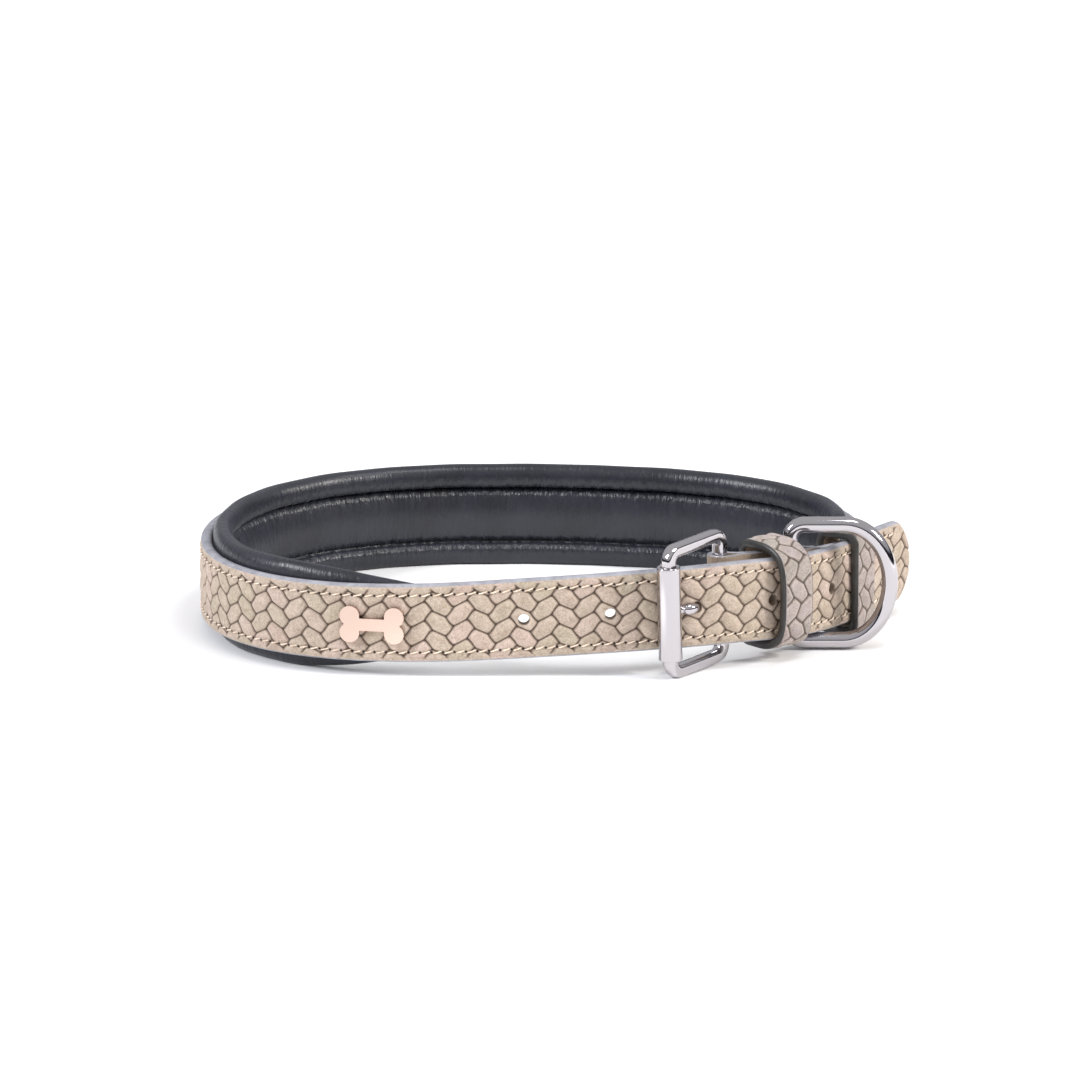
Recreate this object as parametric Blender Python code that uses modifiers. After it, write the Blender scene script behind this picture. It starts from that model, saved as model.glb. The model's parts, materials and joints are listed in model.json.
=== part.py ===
"""Padded leather dog collar with a roller buckle, fastened, standing on its lower edge.

Units are metres, +Z is up, -Y is the front. The loop is described by the route of the
strap's middle, seen from above: it starts under the free end, runs round the right end,
the back, the left end and the front, passes the buckle and ends in the pointed tip.
"""

import math
from collections import namedtuple

import bmesh
import bpy
import numpy as np
from mathutils import Matrix, Vector

# Loop and strap
LOOP_WIDTH = 0.206
LOOP_DEPTH = 0.147
STRAP_THICKNESS = 0.0036
STRAP_WIDTH = 0.025
EDGE_ROUND = 0.0006
TIP_LENGTH = 0.0065
TIP_END_SHARE = 0.25
LAYER_GAP = 0.0003
STATION_STEP = 0.005

# Punched holes
HOLE_DIAMETER = 0.0035
HOLE_SPACING = 0.0262
HOLES_EACH_SIDE = 2

# Padding
PAD_HEIGHT = 0.032
PAD_BEAD_DEPTH = 0.0061
PAD_MIDDLE_DEPTH = 0.0058
PAD_BEAD_SHARE = 0.235
PAD_GROOVE_SHARE = 0.42
PAD_STEP = 0.006
PAD_FRONT_TAPER = 0.045
PAD_REAR_TAPER = 0.014
PAD_TAPER_HEIGHT = 0.55
PAD_TAPER_DEPTH = 0.3
PAD_FLAT = 0.0004

# Buckle
BAR_DIAMETER = 0.004
FRAME_HEIGHT = 0.042
FRAME_PITCH = 0.0255
FRAME_CORNER = 0.0034
FRAME_TILT = math.radians(2.4)
ROLLER_DIAMETER = 0.0073
ROLLER_BORE = 0.0047
ROLLER_LENGTH = 0.0294
ROLLER_EDGE = 0.0005
PRONG_DIAMETER = 0.0032
PRONG_EYE_WIRE = 0.0026
PRONG_CLEARANCE = 0.00035

# Folded end and D-ring
FOLD_LEATHER = 0.0016
FOLD_EYE_LENGTH = 0.008
FOLD_TAIL = 0.010
BAR_CLEARANCE = 0.00035
RING_WIRE = 0.005
RING_HEIGHT = 0.0415
RING_REACH = 0.0332
RING_ARM_SHARE = 0.54
RING_CORNER = 0.0045
RING_FLOOR_GAP = 0.00035

# Keepers
KEEPER_LEATHER = 0.0026
KEEPER_LENGTH = 0.0122
KEEPER_CORNER = 0.0016
KEEPER_FRONT_HEIGHT = 0.0335
KEEPER_FRONT_DEPTH = 0.0187
KEEPER_REAR_HEIGHT = 0.033
KEEPER_REAR_DEPTH = 0.0147
KEEPER_FRONT_RISE = 0.0006
KEEPER_REAR_RISE = -0.0003

# Ornament
BONE_LENGTH = 0.020
BONE_LOBE_RADIUS = 0.0031
BONE_LOBE_SPREAD = 0.0026
BONE_SHANK = 0.0038
BONE_THICKNESS = 0.0014

# Places along the free end, measured from the hole that holds the prong
HEEL_PLACE = 0.0125
KEEPER_FRONT_PLACE = 0.038
KEEPER_REAR_PLACE = 0.068
RING_PLACE = 0.0425
BONE_PLACE = -0.098
PAD_FRONT_PLACE = -0.072

# Rows of the loop: x and y as shares of half the loop's width and depth, the height of the
# strap's middle as a share of half the pad's height, the strap's width as a share of its own.
Row = namedtuple("Row", "place x y height width")
LOOP = (
    Row("right end", 0.967, 0.06, 1.06, 0.99),
    Row("right rear", 0.922, 0.37, 1.02, 0.96),
    Row("rear corner right", 0.775, 0.68, 1.00, 0.96),
    Row("rear right", 0.535, 0.89, 1.00, 0.96),
    Row("rear middle right", 0.25, 0.985, 1.00, 0.96),
    Row("rear middle", -0.04, 1.025, 1.00, 0.96),
    Row("rear middle left", -0.325, 1.01, 1.00, 0.96),
    Row("rear left", -0.60, 0.90, 1.00, 0.96),
    Row("rear corner left", -0.84, 0.645, 1.00, 0.96),
    Row("left rear", -0.976, 0.285, 1.00, 0.96),
    Row("left end", -1.010, -0.11, 1.00, 0.96),
    Row("left front", -0.962, -0.49, 1.00, 0.96),
    Row("front corner", -0.807, -0.785, 1.01, 0.96),
    Row("front left", -0.585, -0.94, 1.02, 0.96),
    Row("front ornament", -0.325, -0.998, 1.06, 0.98),
    Row("front middle", -0.06, -0.985, 1.145, 1.00),
    Row("front holes", 0.19, -0.98, 1.24, 1.00),
)
FREE_END = (
    Row("roller", 0.365, -0.955, 1.30, 1.01),
    Row("prong hole", 0.485, -0.905, 1.31, 1.02),
    Row("heel bar", 0.59, -0.835, 1.305, 1.024),
    Row("before keeper", 0.687, -0.745, 1.25, 1.03),
    Row("at keeper", 0.775, -0.635, 1.195, 1.035),
    Row("at ring", 0.852, -0.51, 1.165, 1.035),
    Row("after ring", 0.922, -0.365, 1.145, 1.035),
    Row("rear keeper", 0.982, -0.205, 1.14, 1.035),
    Row("past keeper", 1.04, -0.05, 1.135, 1.03),
    Row("tip", 1.11, 0.085, 1.11, 1.024),
)
PRONG_HOLE_X = 0.462

Finish = namedtuple("Finish", "name colour roughness metallic")
NUBUCK = Finish("nubuck_leather", (0.50, 0.42, 0.33), 0.75, 0.0)
NAPPA = Finish("nappa_lining", (0.045, 0.045, 0.06), 0.40, 0.0)
KEEPER_HIDE = Finish("keeper_leather", (0.42, 0.39, 0.35), 0.70, 0.0)
NICKEL = Finish("nickel_plate", (0.75, 0.75, 0.77), 0.12, 1.0)
ROSE = Finish("rose_plate", (0.82, 0.68, 0.60), 0.18, 1.0)


def clear_scene():
    for old in list(bpy.data.objects):
        bpy.data.objects.remove(old, do_unlink=True)


def new_collection(name):
    made = bpy.data.collections.new(name)
    bpy.context.scene.collection.children.link(made)
    return made


def material(finish):
    made = bpy.data.materials.get(finish.name) or bpy.data.materials.new(finish.name)
    made.use_nodes = True
    shader = made.node_tree.nodes["Principled BSDF"]
    shader.inputs["Base Color"].default_value = (*finish.colour, 1.0)
    shader.inputs["Roughness"].default_value = finish.roughness
    shader.inputs["Metallic"].default_value = finish.metallic
    return made


def add_part(name, data, finish, smooth_from=None):
    part = bpy.data.objects.new(name, data)
    PARTS.objects.link(part)
    data.materials.append(material(finish))
    if smooth_from is not None and isinstance(data, bpy.types.Mesh):
        data.shade_smooth()
        data.set_sharp_from_angle(angle=smooth_from)
    return part


def add_cutter(name, data):
    cutter = bpy.data.objects.new(name, data)
    CUTTERS.objects.link(cutter)
    cutter.hide_render = True
    cutter.display_type = "WIRE"
    return cutter


def cut(part, cutter, operation="DIFFERENCE"):
    joint = part.modifiers.new(cutter.name, "BOOLEAN")
    joint.operation = operation
    joint.object = cutter


def smooth_curve(control, steps):
    """Points along a uniform cubic B-spline whose ends are the first and last rows."""
    rows = np.vstack([control[:1] * 2 - control[1:2], control, control[-1:] * 2 - control[-2:-1]])
    found = []
    for i in range(len(rows) - 3):
        for t in np.arange(steps) / steps:
            blend = ((1 - t) ** 3, 3 * t**3 - 6 * t**2 + 4, -3 * t**3 + 3 * t**2 + 3 * t + 1, t**3)
            found.append(np.array(blend) @ rows[i : i + 4] / 6)
    found.append(control[-1])
    return np.array(found)


class Route:
    """A run of strap: columns x, y, height and width, read by the distance along it."""

    def __init__(self, columns):
        self.columns = columns
        steps = np.hypot(*np.diff(columns[:, :2], axis=0).T)
        self.along = np.concatenate([[0.0], np.cumsum(steps)])
        self.length = self.along[-1]

    def at(self, place):
        return np.array([np.interp(place, self.along, column) for column in self.columns.T])

    def tangent(self, place):
        reach = 0.002
        step = self.at(min(place + reach, self.length)) - self.at(max(place - reach, 0.0))
        return step[:2] / np.hypot(*step[:2])

    def outward(self, place):
        along = self.tangent(place)
        return np.array([along[1], -along[0]])

    def point(self, place, out, up):
        """The point that lies out from the strap's middle and up from its centre line."""
        row = self.at(place)
        flat = row[:2] + self.outward(place) * out
        return Vector((flat[0], flat[1], row[2] + up))


def rows_to_columns(rows):
    half_pad = PAD_HEIGHT / 2
    return np.array([
        (row.x * LOOP_WIDTH / 2, row.y * LOOP_DEPTH / 2, row.height * half_pad, row.width * STRAP_WIDTH)
        for row in rows
    ])


def nearest_place(route, x):
    """The place on the front run where the route passes x."""
    front = route.columns[:, 1] < 0
    return float(np.interp(x, route.columns[front, 0], route.along[front]))


def under_run(free, start, end, steps=7):
    """The strap's first stretch, lying on the inner face of the free end."""
    inset = STRAP_THICKNESS + LAYER_GAP
    lowest = LOOP[0].height * PAD_HEIGHT / 2
    rows = []
    for share in np.linspace(0.0, 1.0, steps):
        place = start + share * (end - start)
        spot = free.point(place, -inset, 0.0)
        drop = spot.z + (lowest - spot.z) * share
        rows.append((spot.x, spot.y, drop, STRAP_WIDTH))
    return np.array(rows)


def build_strap(route, holes, prong_line):
    count = math.ceil(route.length / STATION_STEP)
    mesh = bmesh.new()
    bmesh.ops.create_grid(mesh, x_segments=count, y_segments=1, size=1.0)
    even_step = (route.length - TIP_LENGTH) / (count - 1)
    for vert in mesh.verts:
        station = round((vert.co.x + 1) / 2 * count)
        place = station * even_step if station < count else route.length
        to_tip = min(1.0, (route.length - place) / TIP_LENGTH)
        point_share = TIP_END_SHARE + (1 - TIP_END_SHARE) * to_tip
        vert.co = route.point(place, 0.0, vert.co.y * route.at(place)[3] / 2 * point_share)
    data = bpy.data.meshes.new("strap")
    mesh.to_mesh(data)
    mesh.free()
    strap = add_part("strap", data, NUBUCK)
    body = strap.modifiers.new("thickness", "SOLIDIFY")
    body.thickness = STRAP_THICKNESS
    body.offset = 0.0
    edge = strap.modifiers.new("rounded_edge", "BEVEL")
    edge.width = EDGE_ROUND
    edge.segments = 1
    edge.angle_limit = math.radians(50)
    for number, place in enumerate(holes):
        row = route.at(place)
        out = route.outward(place)
        cutter = rod_mesh(f"hole_cutter_{number}", HOLE_DIAMETER / 2, STRAP_THICKNESS * 3, 12)
        cutter.matrix_world = facing(Vector((row[0], row[1], row[2])), Vector((out[0], out[1], 0.0)))
        cut(strap, cutter)
    middle, direction = prong_line
    slot = rod_mesh("prong_slot_cutter", PRONG_DIAMETER / 2 + PRONG_CLEARANCE, FRAME_PITCH, 12)
    slot.matrix_world = facing(middle, direction)
    cut(strap, slot)
    return strap


def rod_mesh(name, radius, length, sides):
    mesh = bmesh.new()
    bmesh.ops.create_cone(
        mesh, cap_ends=True, segments=sides, radius1=radius, radius2=radius, depth=length
    )
    data = bpy.data.meshes.new(name)
    mesh.to_mesh(data)
    mesh.free()
    return add_cutter(name, data)


def facing(place, direction):
    turn = direction.to_track_quat("Z", "Y").to_matrix().to_4x4()
    return Matrix.Translation(place) @ turn


def pad_section(height, depth_share):
    """The padding's outline: depth from the strap, and height. Three rolls, a flat back."""
    half = height / 2
    bead_half = height * PAD_BEAD_SHARE / 2
    bead_middle = half - bead_half
    groove = bead_middle - bead_half
    bead = PAD_BEAD_DEPTH * depth_share
    roll = PAD_MIDDLE_DEPTH * depth_share
    valley = roll * PAD_GROOVE_SHARE
    outline = [(0.0, bead_middle)]
    for angle in np.radians((40, 75, 105, 135, 160)):
        outline.append((bead / 2 - bead / 2 * math.cos(angle), bead_middle + bead_half * math.sin(angle)))
    for angle in np.radians((0, -28, -56)):
        outline.append((bead / 2 + bead / 2 * math.cos(angle), bead_middle + bead_half * math.sin(angle)))
    outline.append((valley, groove))
    for share in (0.85, 0.62, 0.32, 0.0):
        outline.append((valley + (roll - valley) * math.sqrt(1 - share**2), groove * share))
    mirrored = [(depth, -up) for depth, up in reversed(outline[:-1])]
    return outline + mirrored


def build_padding(route, start, end):
    """A loft through the three-roll outline, thinning out at both ends of the padding."""
    count = math.ceil((end - start) / PAD_STEP)
    mesh = bmesh.new()
    rings = []
    for number in range(count + 1):
        place = start + (end - start) * number / count
        rear = min(1.0, (place - start) / PAD_REAR_TAPER)
        front = min(1.0, (end - place) / PAD_FRONT_TAPER)
        full = min(rear, front)
        height = PAD_HEIGHT * (PAD_TAPER_HEIGHT + (1 - PAD_TAPER_HEIGHT) * full)
        share = PAD_TAPER_DEPTH + (1 - PAD_TAPER_DEPTH) * full
        ring = []
        for depth, up in pad_section(height + 2 * PAD_FLAT, share):
            spot = route.point(place, -(STRAP_THICKNESS / 2 + LAYER_GAP + depth), up)
            spot.z = max(spot.z, 0.0)
            ring.append(mesh.verts.new(spot))
        rings.append(ring)
    for ring, following in zip(rings, rings[1:]):
        for i in range(len(ring)):
            mesh.faces.new((ring[i - 1], ring[i], following[i], following[i - 1]))
    mesh.faces.new(rings[0])
    mesh.faces.new(rings[-1])
    bmesh.ops.recalc_face_normals(mesh, faces=mesh.faces)
    data = bpy.data.meshes.new("padding")
    mesh.to_mesh(data)
    mesh.free()
    return add_part("padding", data, NAPPA, smooth_from=math.radians(50))


def fold_line(free, fold_depth, places, heights):
    """The folded end's own middle line, inside the free end, as a route."""
    heel_place, ring_place, tail_place = places
    tail_depth = STRAP_THICKNESS + LAYER_GAP
    rows = []
    for place in np.linspace(heel_place - FOLD_EYE_LENGTH, tail_place, 60):
        past = (place - ring_place) / (tail_place - ring_place)
        ease = 0.5 - 0.5 * math.cos(math.pi * min(1.0, max(0.0, past)))
        share = min(1.0, max(0.0, (place - heel_place) / (tail_place - heel_place)))
        spot = free.point(place, ease * (fold_depth - tail_depth) - fold_depth, 0.0)
        rows.append((spot.x, spot.y, heights[0] + (heights[1] - heights[0]) * share, STRAP_WIDTH))
    return Route(np.array(rows))


def fold_outline(line, heel, ring):
    """Places along the middle line and offsets of the leather, from tail to fold to tail."""
    pinch = (FOLD_LEATHER + LAYER_GAP) / 2
    heel_eye = (BAR_DIAMETER + FOLD_LEATHER) / 2 + BAR_CLEARANCE
    ring_eye = (RING_WIRE + FOLD_LEATHER) / 2 + BAR_CLEARANCE

    def opening(place):
        wide = pinch
        for middle, eye in ((heel, heel_eye), (ring, ring_eye)):
            away = abs(place - middle)
            if away < FOLD_EYE_LENGTH:
                swell = (eye - pinch) * math.cos(math.pi / 2 * away / FOLD_EYE_LENGTH) ** 2
                wide = max(wide, pinch + swell)
        return wide

    leg = [(place, opening(place)) for place in np.linspace(line.length, heel, 30)]
    turn = [
        (heel - heel_eye * math.sin(angle), heel_eye * math.cos(angle))
        for angle in np.linspace(0, math.pi, 9)[1:-1]
    ]
    return leg + turn + [(place, -gap) for place, gap in reversed(leg)]


def build_fold(line, heel, ring, along):
    """The folded end. Round the heel bar it leans with the bar, further on it stands upright."""
    outline = fold_outline(line, heel, ring)
    mesh = bmesh.new()
    bmesh.ops.create_grid(mesh, x_segments=len(outline) - 1, y_segments=1, size=1.0)
    for vert in mesh.verts:
        place, out = outline[round((vert.co.x + 1) / 2 * (len(outline) - 1))]
        up = vert.co.y * STRAP_WIDTH / 2
        upright = min(1.0, max(0.0, (place - heel) / (ring - heel)))
        lean = along * (-up * math.tan(FRAME_TILT) * (1 - upright))
        vert.co = line.point(place, out, up) + lean
    data = bpy.data.meshes.new("folded_end")
    mesh.to_mesh(data)
    mesh.free()
    fold = add_part("folded_end", data, NUBUCK)
    body = fold.modifiers.new("thickness", "SOLIDIFY")
    body.thickness = FOLD_LEATHER
    body.offset = 0.0
    return fold


def rounded_loop(left, right, bottom, top, radius, steps=5):
    """Corner arcs of a rounded rectangle, anticlockwise."""
    corners = (
        (right - radius, top - radius, 0),
        (left + radius, top - radius, 90),
        (left + radius, bottom + radius, 180),
        (right - radius, bottom + radius, 270),
    )
    return [
        (x + radius * math.cos(angle), y + radius * math.sin(angle))
        for x, y, start in corners
        for angle in np.radians(np.linspace(start, start + 90, steps))
    ]


def closed_wire(name, outline, radius, finish):
    """A bent round bar: the outline lies in the object's own XZ plane."""
    data = bpy.data.curves.new(name, "CURVE")
    data.dimensions = "3D"
    data.bevel_depth = radius
    data.bevel_resolution = 4
    data.use_fill_caps = True
    run = data.splines.new("POLY")
    run.points.add(len(outline) - 1)
    for point, (x, z) in zip(run.points, outline):
        point.co = (x, 0.0, z, 1.0)
    run.use_cyclic_u = True
    return add_part(name, data, finish)


def build_frame(buckle):
    reach = FRAME_HEIGHT / 2 - BAR_DIAMETER / 2
    outline = rounded_loop(-FRAME_PITCH / 2, FRAME_PITCH / 2, -reach, reach, FRAME_CORNER)
    frame = closed_wire("buckle_frame", outline, BAR_DIAMETER / 2, NICKEL)
    frame.parent = buckle
    return frame


def turned(name, profile, steps, closed):
    """A round mesh from a profile of radius and height, through a Screw modifier."""
    data = bpy.data.meshes.new(name)
    spots = [(radius, 0.0, up) for radius, up in profile]
    edges = [(i, i + 1) for i in range(len(spots) - 1)]
    if closed:
        edges.append((len(spots) - 1, 0))
    data.from_pydata(spots, edges, [])
    part = bpy.data.objects.new(name, data)
    screw = part.modifiers.new("turn", "SCREW")
    screw.steps = steps
    screw.render_steps = steps
    screw.use_merge_vertices = True
    screw.merge_threshold = 0.00001
    return part


def build_roller(buckle):
    inner = ROLLER_BORE / 2
    outer = ROLLER_DIAMETER / 2
    half = ROLLER_LENGTH / 2
    profile = [
        (outer, half - ROLLER_EDGE),
        (outer, ROLLER_EDGE - half),
        (outer - ROLLER_EDGE, -half),
        (inner, -half),
        (inner, half),
        (outer - ROLLER_EDGE, half),
    ]
    roller = turned("buckle_roller", profile, 24, closed=True)
    PARTS.objects.link(roller)
    roller.data.materials.append(material(NICKEL))
    roller.location = (-FRAME_PITCH / 2, 0.0, 0.0)
    roller.parent = buckle
    return roller


def build_prong(buckle):
    """The tongue: a round rod from an eye round the heel bar to the side of the roller."""
    radius = PRONG_DIAMETER / 2
    eye_radius = BAR_DIAMETER / 2 + PRONG_CLEARANCE + PRONG_EYE_WIRE / 2
    tip = FRAME_PITCH - ROLLER_DIAMETER / 2 - PRONG_CLEARANCE
    base = eye_radius
    profile = [(0.0, tip)]
    for angle in np.radians((25, 50, 72, 90)):
        profile.append((radius * math.sin(angle), tip - radius * 1.4 * (1 - math.cos(angle))))
    profile += [(radius, base), (0.0, base)]
    prong = turned("buckle_prong", profile, 12, closed=False)
    PARTS.objects.link(prong)
    prong.data.materials.append(material(NICKEL))
    prong.parent = buckle
    prong.location = (FRAME_PITCH / 2, 0.0, 0.0)
    prong.rotation_euler = (0.0, -math.pi / 2, 0.0)
    bpy.ops.mesh.primitive_torus_add(
        major_radius=eye_radius,
        minor_radius=PRONG_EYE_WIRE / 2,
        major_segments=20,
        minor_segments=8,
    )
    eye = bpy.context.object
    eye.name = "prong_eye"
    for owner in list(eye.users_collection):
        owner.objects.unlink(eye)
    CUTTERS.objects.link(eye)
    eye.hide_render = True
    eye.display_type = "WIRE"
    eye.parent = buckle
    eye.location = (FRAME_PITCH / 2, 0.0, 0.0)
    cut(prong, eye, "UNION")
    return prong


def build_keeper(name, free, place, height, depth, rise):
    """A closed leather loop across the strap: an outline swept along it, then Solidify."""
    outer_face = STRAP_THICKNESS / 2 + LAYER_GAP + KEEPER_LEATHER
    corner = KEEPER_CORNER + KEEPER_LEATHER
    outline = rounded_loop(outer_face - depth, outer_face, -height / 2, height / 2, corner)
    data = bpy.data.curves.new(name, "CURVE")
    data.dimensions = "2D"
    data.fill_mode = "NONE"
    data.extrude = KEEPER_LENGTH / 2
    run = data.splines.new("POLY")
    run.points.add(len(outline) - 1)
    for point, (out, up) in zip(run.points, outline):
        point.co = (out, up, 0.0, 1.0)
    run.use_cyclic_u = True
    keeper = add_part(name, data, KEEPER_HIDE)
    wall = keeper.modifiers.new("leather", "SOLIDIFY")
    wall.thickness = KEEPER_LEATHER
    wall.offset = -1.0
    along = free.tangent(place)
    out = free.outward(place)
    centre = free.point(place, 0.0, rise)
    keeper.matrix_world = Matrix((
        (out[0], 0.0, along[0], centre.x),
        (out[1], 0.0, along[1], centre.y),
        (0.0, 1.0, 0.0, centre.z),
        (0.0, 0.0, 0.0, 1.0),
    ))
    return keeper


def build_ring(place, floor_height):
    """The D: a straight bar on the hinge line, two arms and a bow, in the XZ plane."""
    half = (RING_HEIGHT - RING_WIRE) / 2
    reach = RING_REACH - RING_WIRE / 2
    arm = reach * RING_ARM_SHARE
    outline = []
    for angle in np.radians(np.linspace(-90, 90, 17)):
        outline.append((arm + (reach - arm) * math.cos(angle), half * math.sin(angle)))
    for x, z, start in ((RING_CORNER, half - RING_CORNER, 90), (RING_CORNER, RING_CORNER - half, 180)):
        for angle in np.radians(np.linspace(start, start + 90, 5)):
            outline.append((x + RING_CORNER * math.cos(angle), z + RING_CORNER * math.sin(angle)))
    ring = closed_wire("d_ring", outline, RING_WIRE / 2, NICKEL)
    ring.location = (place.x, place.y, floor_height)
    return ring


def build_bone(route, place):
    """A plain bone-shaped plate: four round lobes and a straight shank."""
    lobe = BONE_LOBE_RADIUS
    across = BONE_LENGTH / 2 - lobe
    shank_angle = math.degrees(math.asin((BONE_SHANK / 2 - BONE_LOBE_SPREAD) / lobe))
    notch_angle = math.degrees(math.asin(-BONE_LOBE_SPREAD / lobe))
    upper_right = [
        (across + lobe * math.cos(angle), BONE_LOBE_SPREAD + lobe * math.sin(angle))
        for angle in np.radians(np.linspace(notch_angle, 180 - shank_angle, 12))
    ]
    upper_left = [(-x, y) for x, y in reversed(upper_right)]
    lower_left = [(-x, -y) for x, y in upper_right[1:]]
    lower_right = [(x, -y) for x, y in reversed(upper_right[1:])]
    outline = upper_right + upper_left + lower_left + lower_right
    data = bpy.data.curves.new("ornament", "CURVE")
    data.dimensions = "2D"
    data.fill_mode = "BOTH"
    data.extrude = BONE_THICKNESS / 2
    run = data.splines.new("POLY")
    run.points.add(len(outline) - 1)
    for point, (x, y) in zip(run.points, outline):
        point.co = (x, y, 0.0, 1.0)
    run.use_cyclic_u = True
    bone = add_part("ornament", data, ROSE)
    along = route.tangent(place)
    out = route.outward(place)
    centre = route.point(place, STRAP_THICKNESS / 2 + LAYER_GAP + BONE_THICKNESS / 2, 0.0)
    bone.matrix_world = Matrix((
        (along[0], 0.0, out[0], centre.x),
        (along[1], 0.0, out[1], centre.y),
        (0.0, 1.0, 0.0, centre.z),
        (0.0, 0.0, 0.0, 1.0),
    ))
    return bone


def place_buckle(heel, front):
    """An empty in the frame's middle: its X runs from the front bar to the heel bar."""
    buckle = bpy.data.objects.new("buckle_axes", None)
    PARTS.objects.link(buckle)
    along = Vector((heel.x - front.x, heel.y - front.y, 0.0)).normalized()
    across = Vector((0.0, 0.0, 1.0)).cross(along)
    upright = Matrix((along, across, Vector((0.0, 0.0, 1.0)))).transposed().to_4x4()
    reach = FRAME_HEIGHT / 2 - FRAME_CORNER - BAR_DIAMETER / 2
    lean = FRAME_PITCH / 2 - FRAME_CORNER
    round_reach = FRAME_CORNER + BAR_DIAMETER / 2
    height = reach * math.cos(FRAME_TILT) + lean * math.sin(FRAME_TILT) + round_reach
    middle = Vector(((heel.x + front.x) / 2, (heel.y + front.y) / 2, height))
    buckle.matrix_world = Matrix.Translation(middle) @ upright @ Matrix.Rotation(-FRAME_TILT, 4, "Y")
    return buckle


def build_collar():
    free = Route(smooth_curve(rows_to_columns(LOOP[-3:] + FREE_END), 12))
    prong_hole = nearest_place(free, PRONG_HOLE_X * LOOP_WIDTH / 2)
    keeper_rear = prong_hole + KEEPER_REAR_PLACE
    ring_place = prong_hole + RING_PLACE
    tail_place = ring_place + FOLD_TAIL
    heel_place = prong_hole + HEEL_PLACE

    lift_off = keeper_rear + KEEPER_LENGTH / 2
    first = under_run(free, tail_place + LAYER_GAP, lift_off)
    whole = Route(smooth_curve(np.vstack([first, rows_to_columns(LOOP + FREE_END)]), 12))
    whole_prong = whole.length - (free.length - prong_hole)

    heel_reach = BAR_DIAMETER / 2 + PRONG_CLEARANCE + PRONG_EYE_WIRE
    ring_reach = RING_WIRE / 2 + BAR_CLEARANCE + FOLD_LEATHER
    fold_depth = STRAP_THICKNESS / 2 + LAYER_GAP + max(heel_reach, ring_reach)
    heel = free.point(heel_place, -fold_depth, 0.0)
    ring = free.point(ring_place, -fold_depth, 0.0)
    buckle = place_buckle(heel, front_bar(free, heel, prong_hole))
    bpy.context.view_layer.update()
    axes = buckle.matrix_world
    direction = (axes.to_3x3() @ Vector((1.0, 0.0, 0.0))).normalized()

    holes = [whole_prong + HOLE_SPACING * i for i in range(-HOLES_EACH_SIDE, HOLES_EACH_SIDE + 1)]
    build_strap(whole, holes, (axes.translation, direction))
    pad_start = lift_off - tail_place + PAD_REAR_TAPER / 3
    build_padding(whole, pad_start, whole_prong + PAD_FRONT_PLACE)

    heel_height = axes.translation.z + FRAME_PITCH / 2 * math.sin(FRAME_TILT)
    places = (heel_place, ring_place, tail_place)
    line = fold_line(free, fold_depth, places, (heel_height, first[0][2]))
    level = Vector((direction.x, direction.y, 0.0)).normalized()
    fold = build_fold(line, nearest_along(line, heel), nearest_along(line, ring), level)
    cut_prong_slot(fold, buckle)
    build_frame(buckle)
    build_roller(buckle)
    build_prong(buckle)
    build_keeper("keeper_front", free, prong_hole + KEEPER_FRONT_PLACE - KEEPER_LENGTH / 2,
                 KEEPER_FRONT_HEIGHT, KEEPER_FRONT_DEPTH, KEEPER_FRONT_RISE)
    build_keeper("keeper_rear", free, keeper_rear,
                 KEEPER_REAR_HEIGHT, KEEPER_REAR_DEPTH, KEEPER_REAR_RISE)
    build_ring(ring, RING_HEIGHT / 2 + RING_FLOOR_GAP)
    build_bone(whole, whole_prong + BONE_PLACE)


def nearest_along(line, spot):
    """The distance along a route at which it passes closest to a point."""
    away = np.hypot(line.columns[:, 0] - spot.x, line.columns[:, 1] - spot.y)
    nearest = int(np.argmin(away))
    step = line.columns[nearest, :2] - (spot.x, spot.y)
    return float(line.along[nearest] - line.tangent(line.along[nearest]) @ step)


def front_bar(free, heel, prong_hole):
    """The front bar's middle: the frame's pitch away from the heel bar, outside the strap."""
    sideways = ROLLER_LENGTH / 2 * math.sin(FRAME_TILT)
    clear = STRAP_THICKNESS / 2 + LAYER_GAP + ROLLER_DIAMETER / 2 + sideways
    places = np.linspace(prong_hole - FRAME_PITCH, prong_hole, 200)
    spots = [free.point(place, clear, 0.0) for place in places]
    flat = [abs(math.hypot(spot.x - heel.x, spot.y - heel.y) - FRAME_PITCH) for spot in spots]
    return spots[int(np.argmin(flat))]


def cut_prong_slot(fold, buckle):
    """The slot in the fold for the prong's eye."""
    height = PRONG_DIAMETER + 4 * PRONG_CLEARANCE
    mesh = bmesh.new()
    bmesh.ops.create_cube(mesh, size=1.0)
    side = 2 * (BAR_DIAMETER / 2 + 2 * PRONG_CLEARANCE + PRONG_EYE_WIRE)
    for vert in mesh.verts:
        vert.co.x *= side
        vert.co.y *= side
        vert.co.z *= height
    data = bpy.data.meshes.new("prong_fold_cutter")
    mesh.to_mesh(data)
    mesh.free()
    slot = add_cutter("prong_fold_cutter", data)
    slot.parent = buckle
    slot.location = (FRAME_PITCH / 2, 0.0, 0.0)
    cut(fold, slot)


def stand_on_origin():
    """Moves the collar so that its box is centred over the origin."""
    bpy.context.view_layer.update()
    graph = bpy.context.evaluated_depsgraph_get()
    spots = []
    for part in PARTS.objects:
        if part.type != "EMPTY":
            shape = part.evaluated_get(graph)
            spots += [shape.matrix_world @ vert.co for vert in shape.to_mesh().vertices]
    spots = np.array(spots)
    middle = (spots.min(axis=0) + spots.max(axis=0)) / 2
    for thing in [*PARTS.objects, *CUTTERS.objects]:
        if thing.parent is None:
            thing.location -= Vector((middle[0], middle[1], 0.0))


clear_scene()
PARTS = new_collection("dog_collar")
CUTTERS = new_collection("cutters")
build_collar()
stand_on_origin()
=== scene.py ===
"""The finished look of a padded leather dog collar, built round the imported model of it.

Units are metres, +Z is up, -Y is the front. The strap follows the same route as the solids:
it starts under the free end, runs round the right end, the back, the left end and the front,
passes the buckle and ends in the pointed tip.
"""

import json
import math

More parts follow.
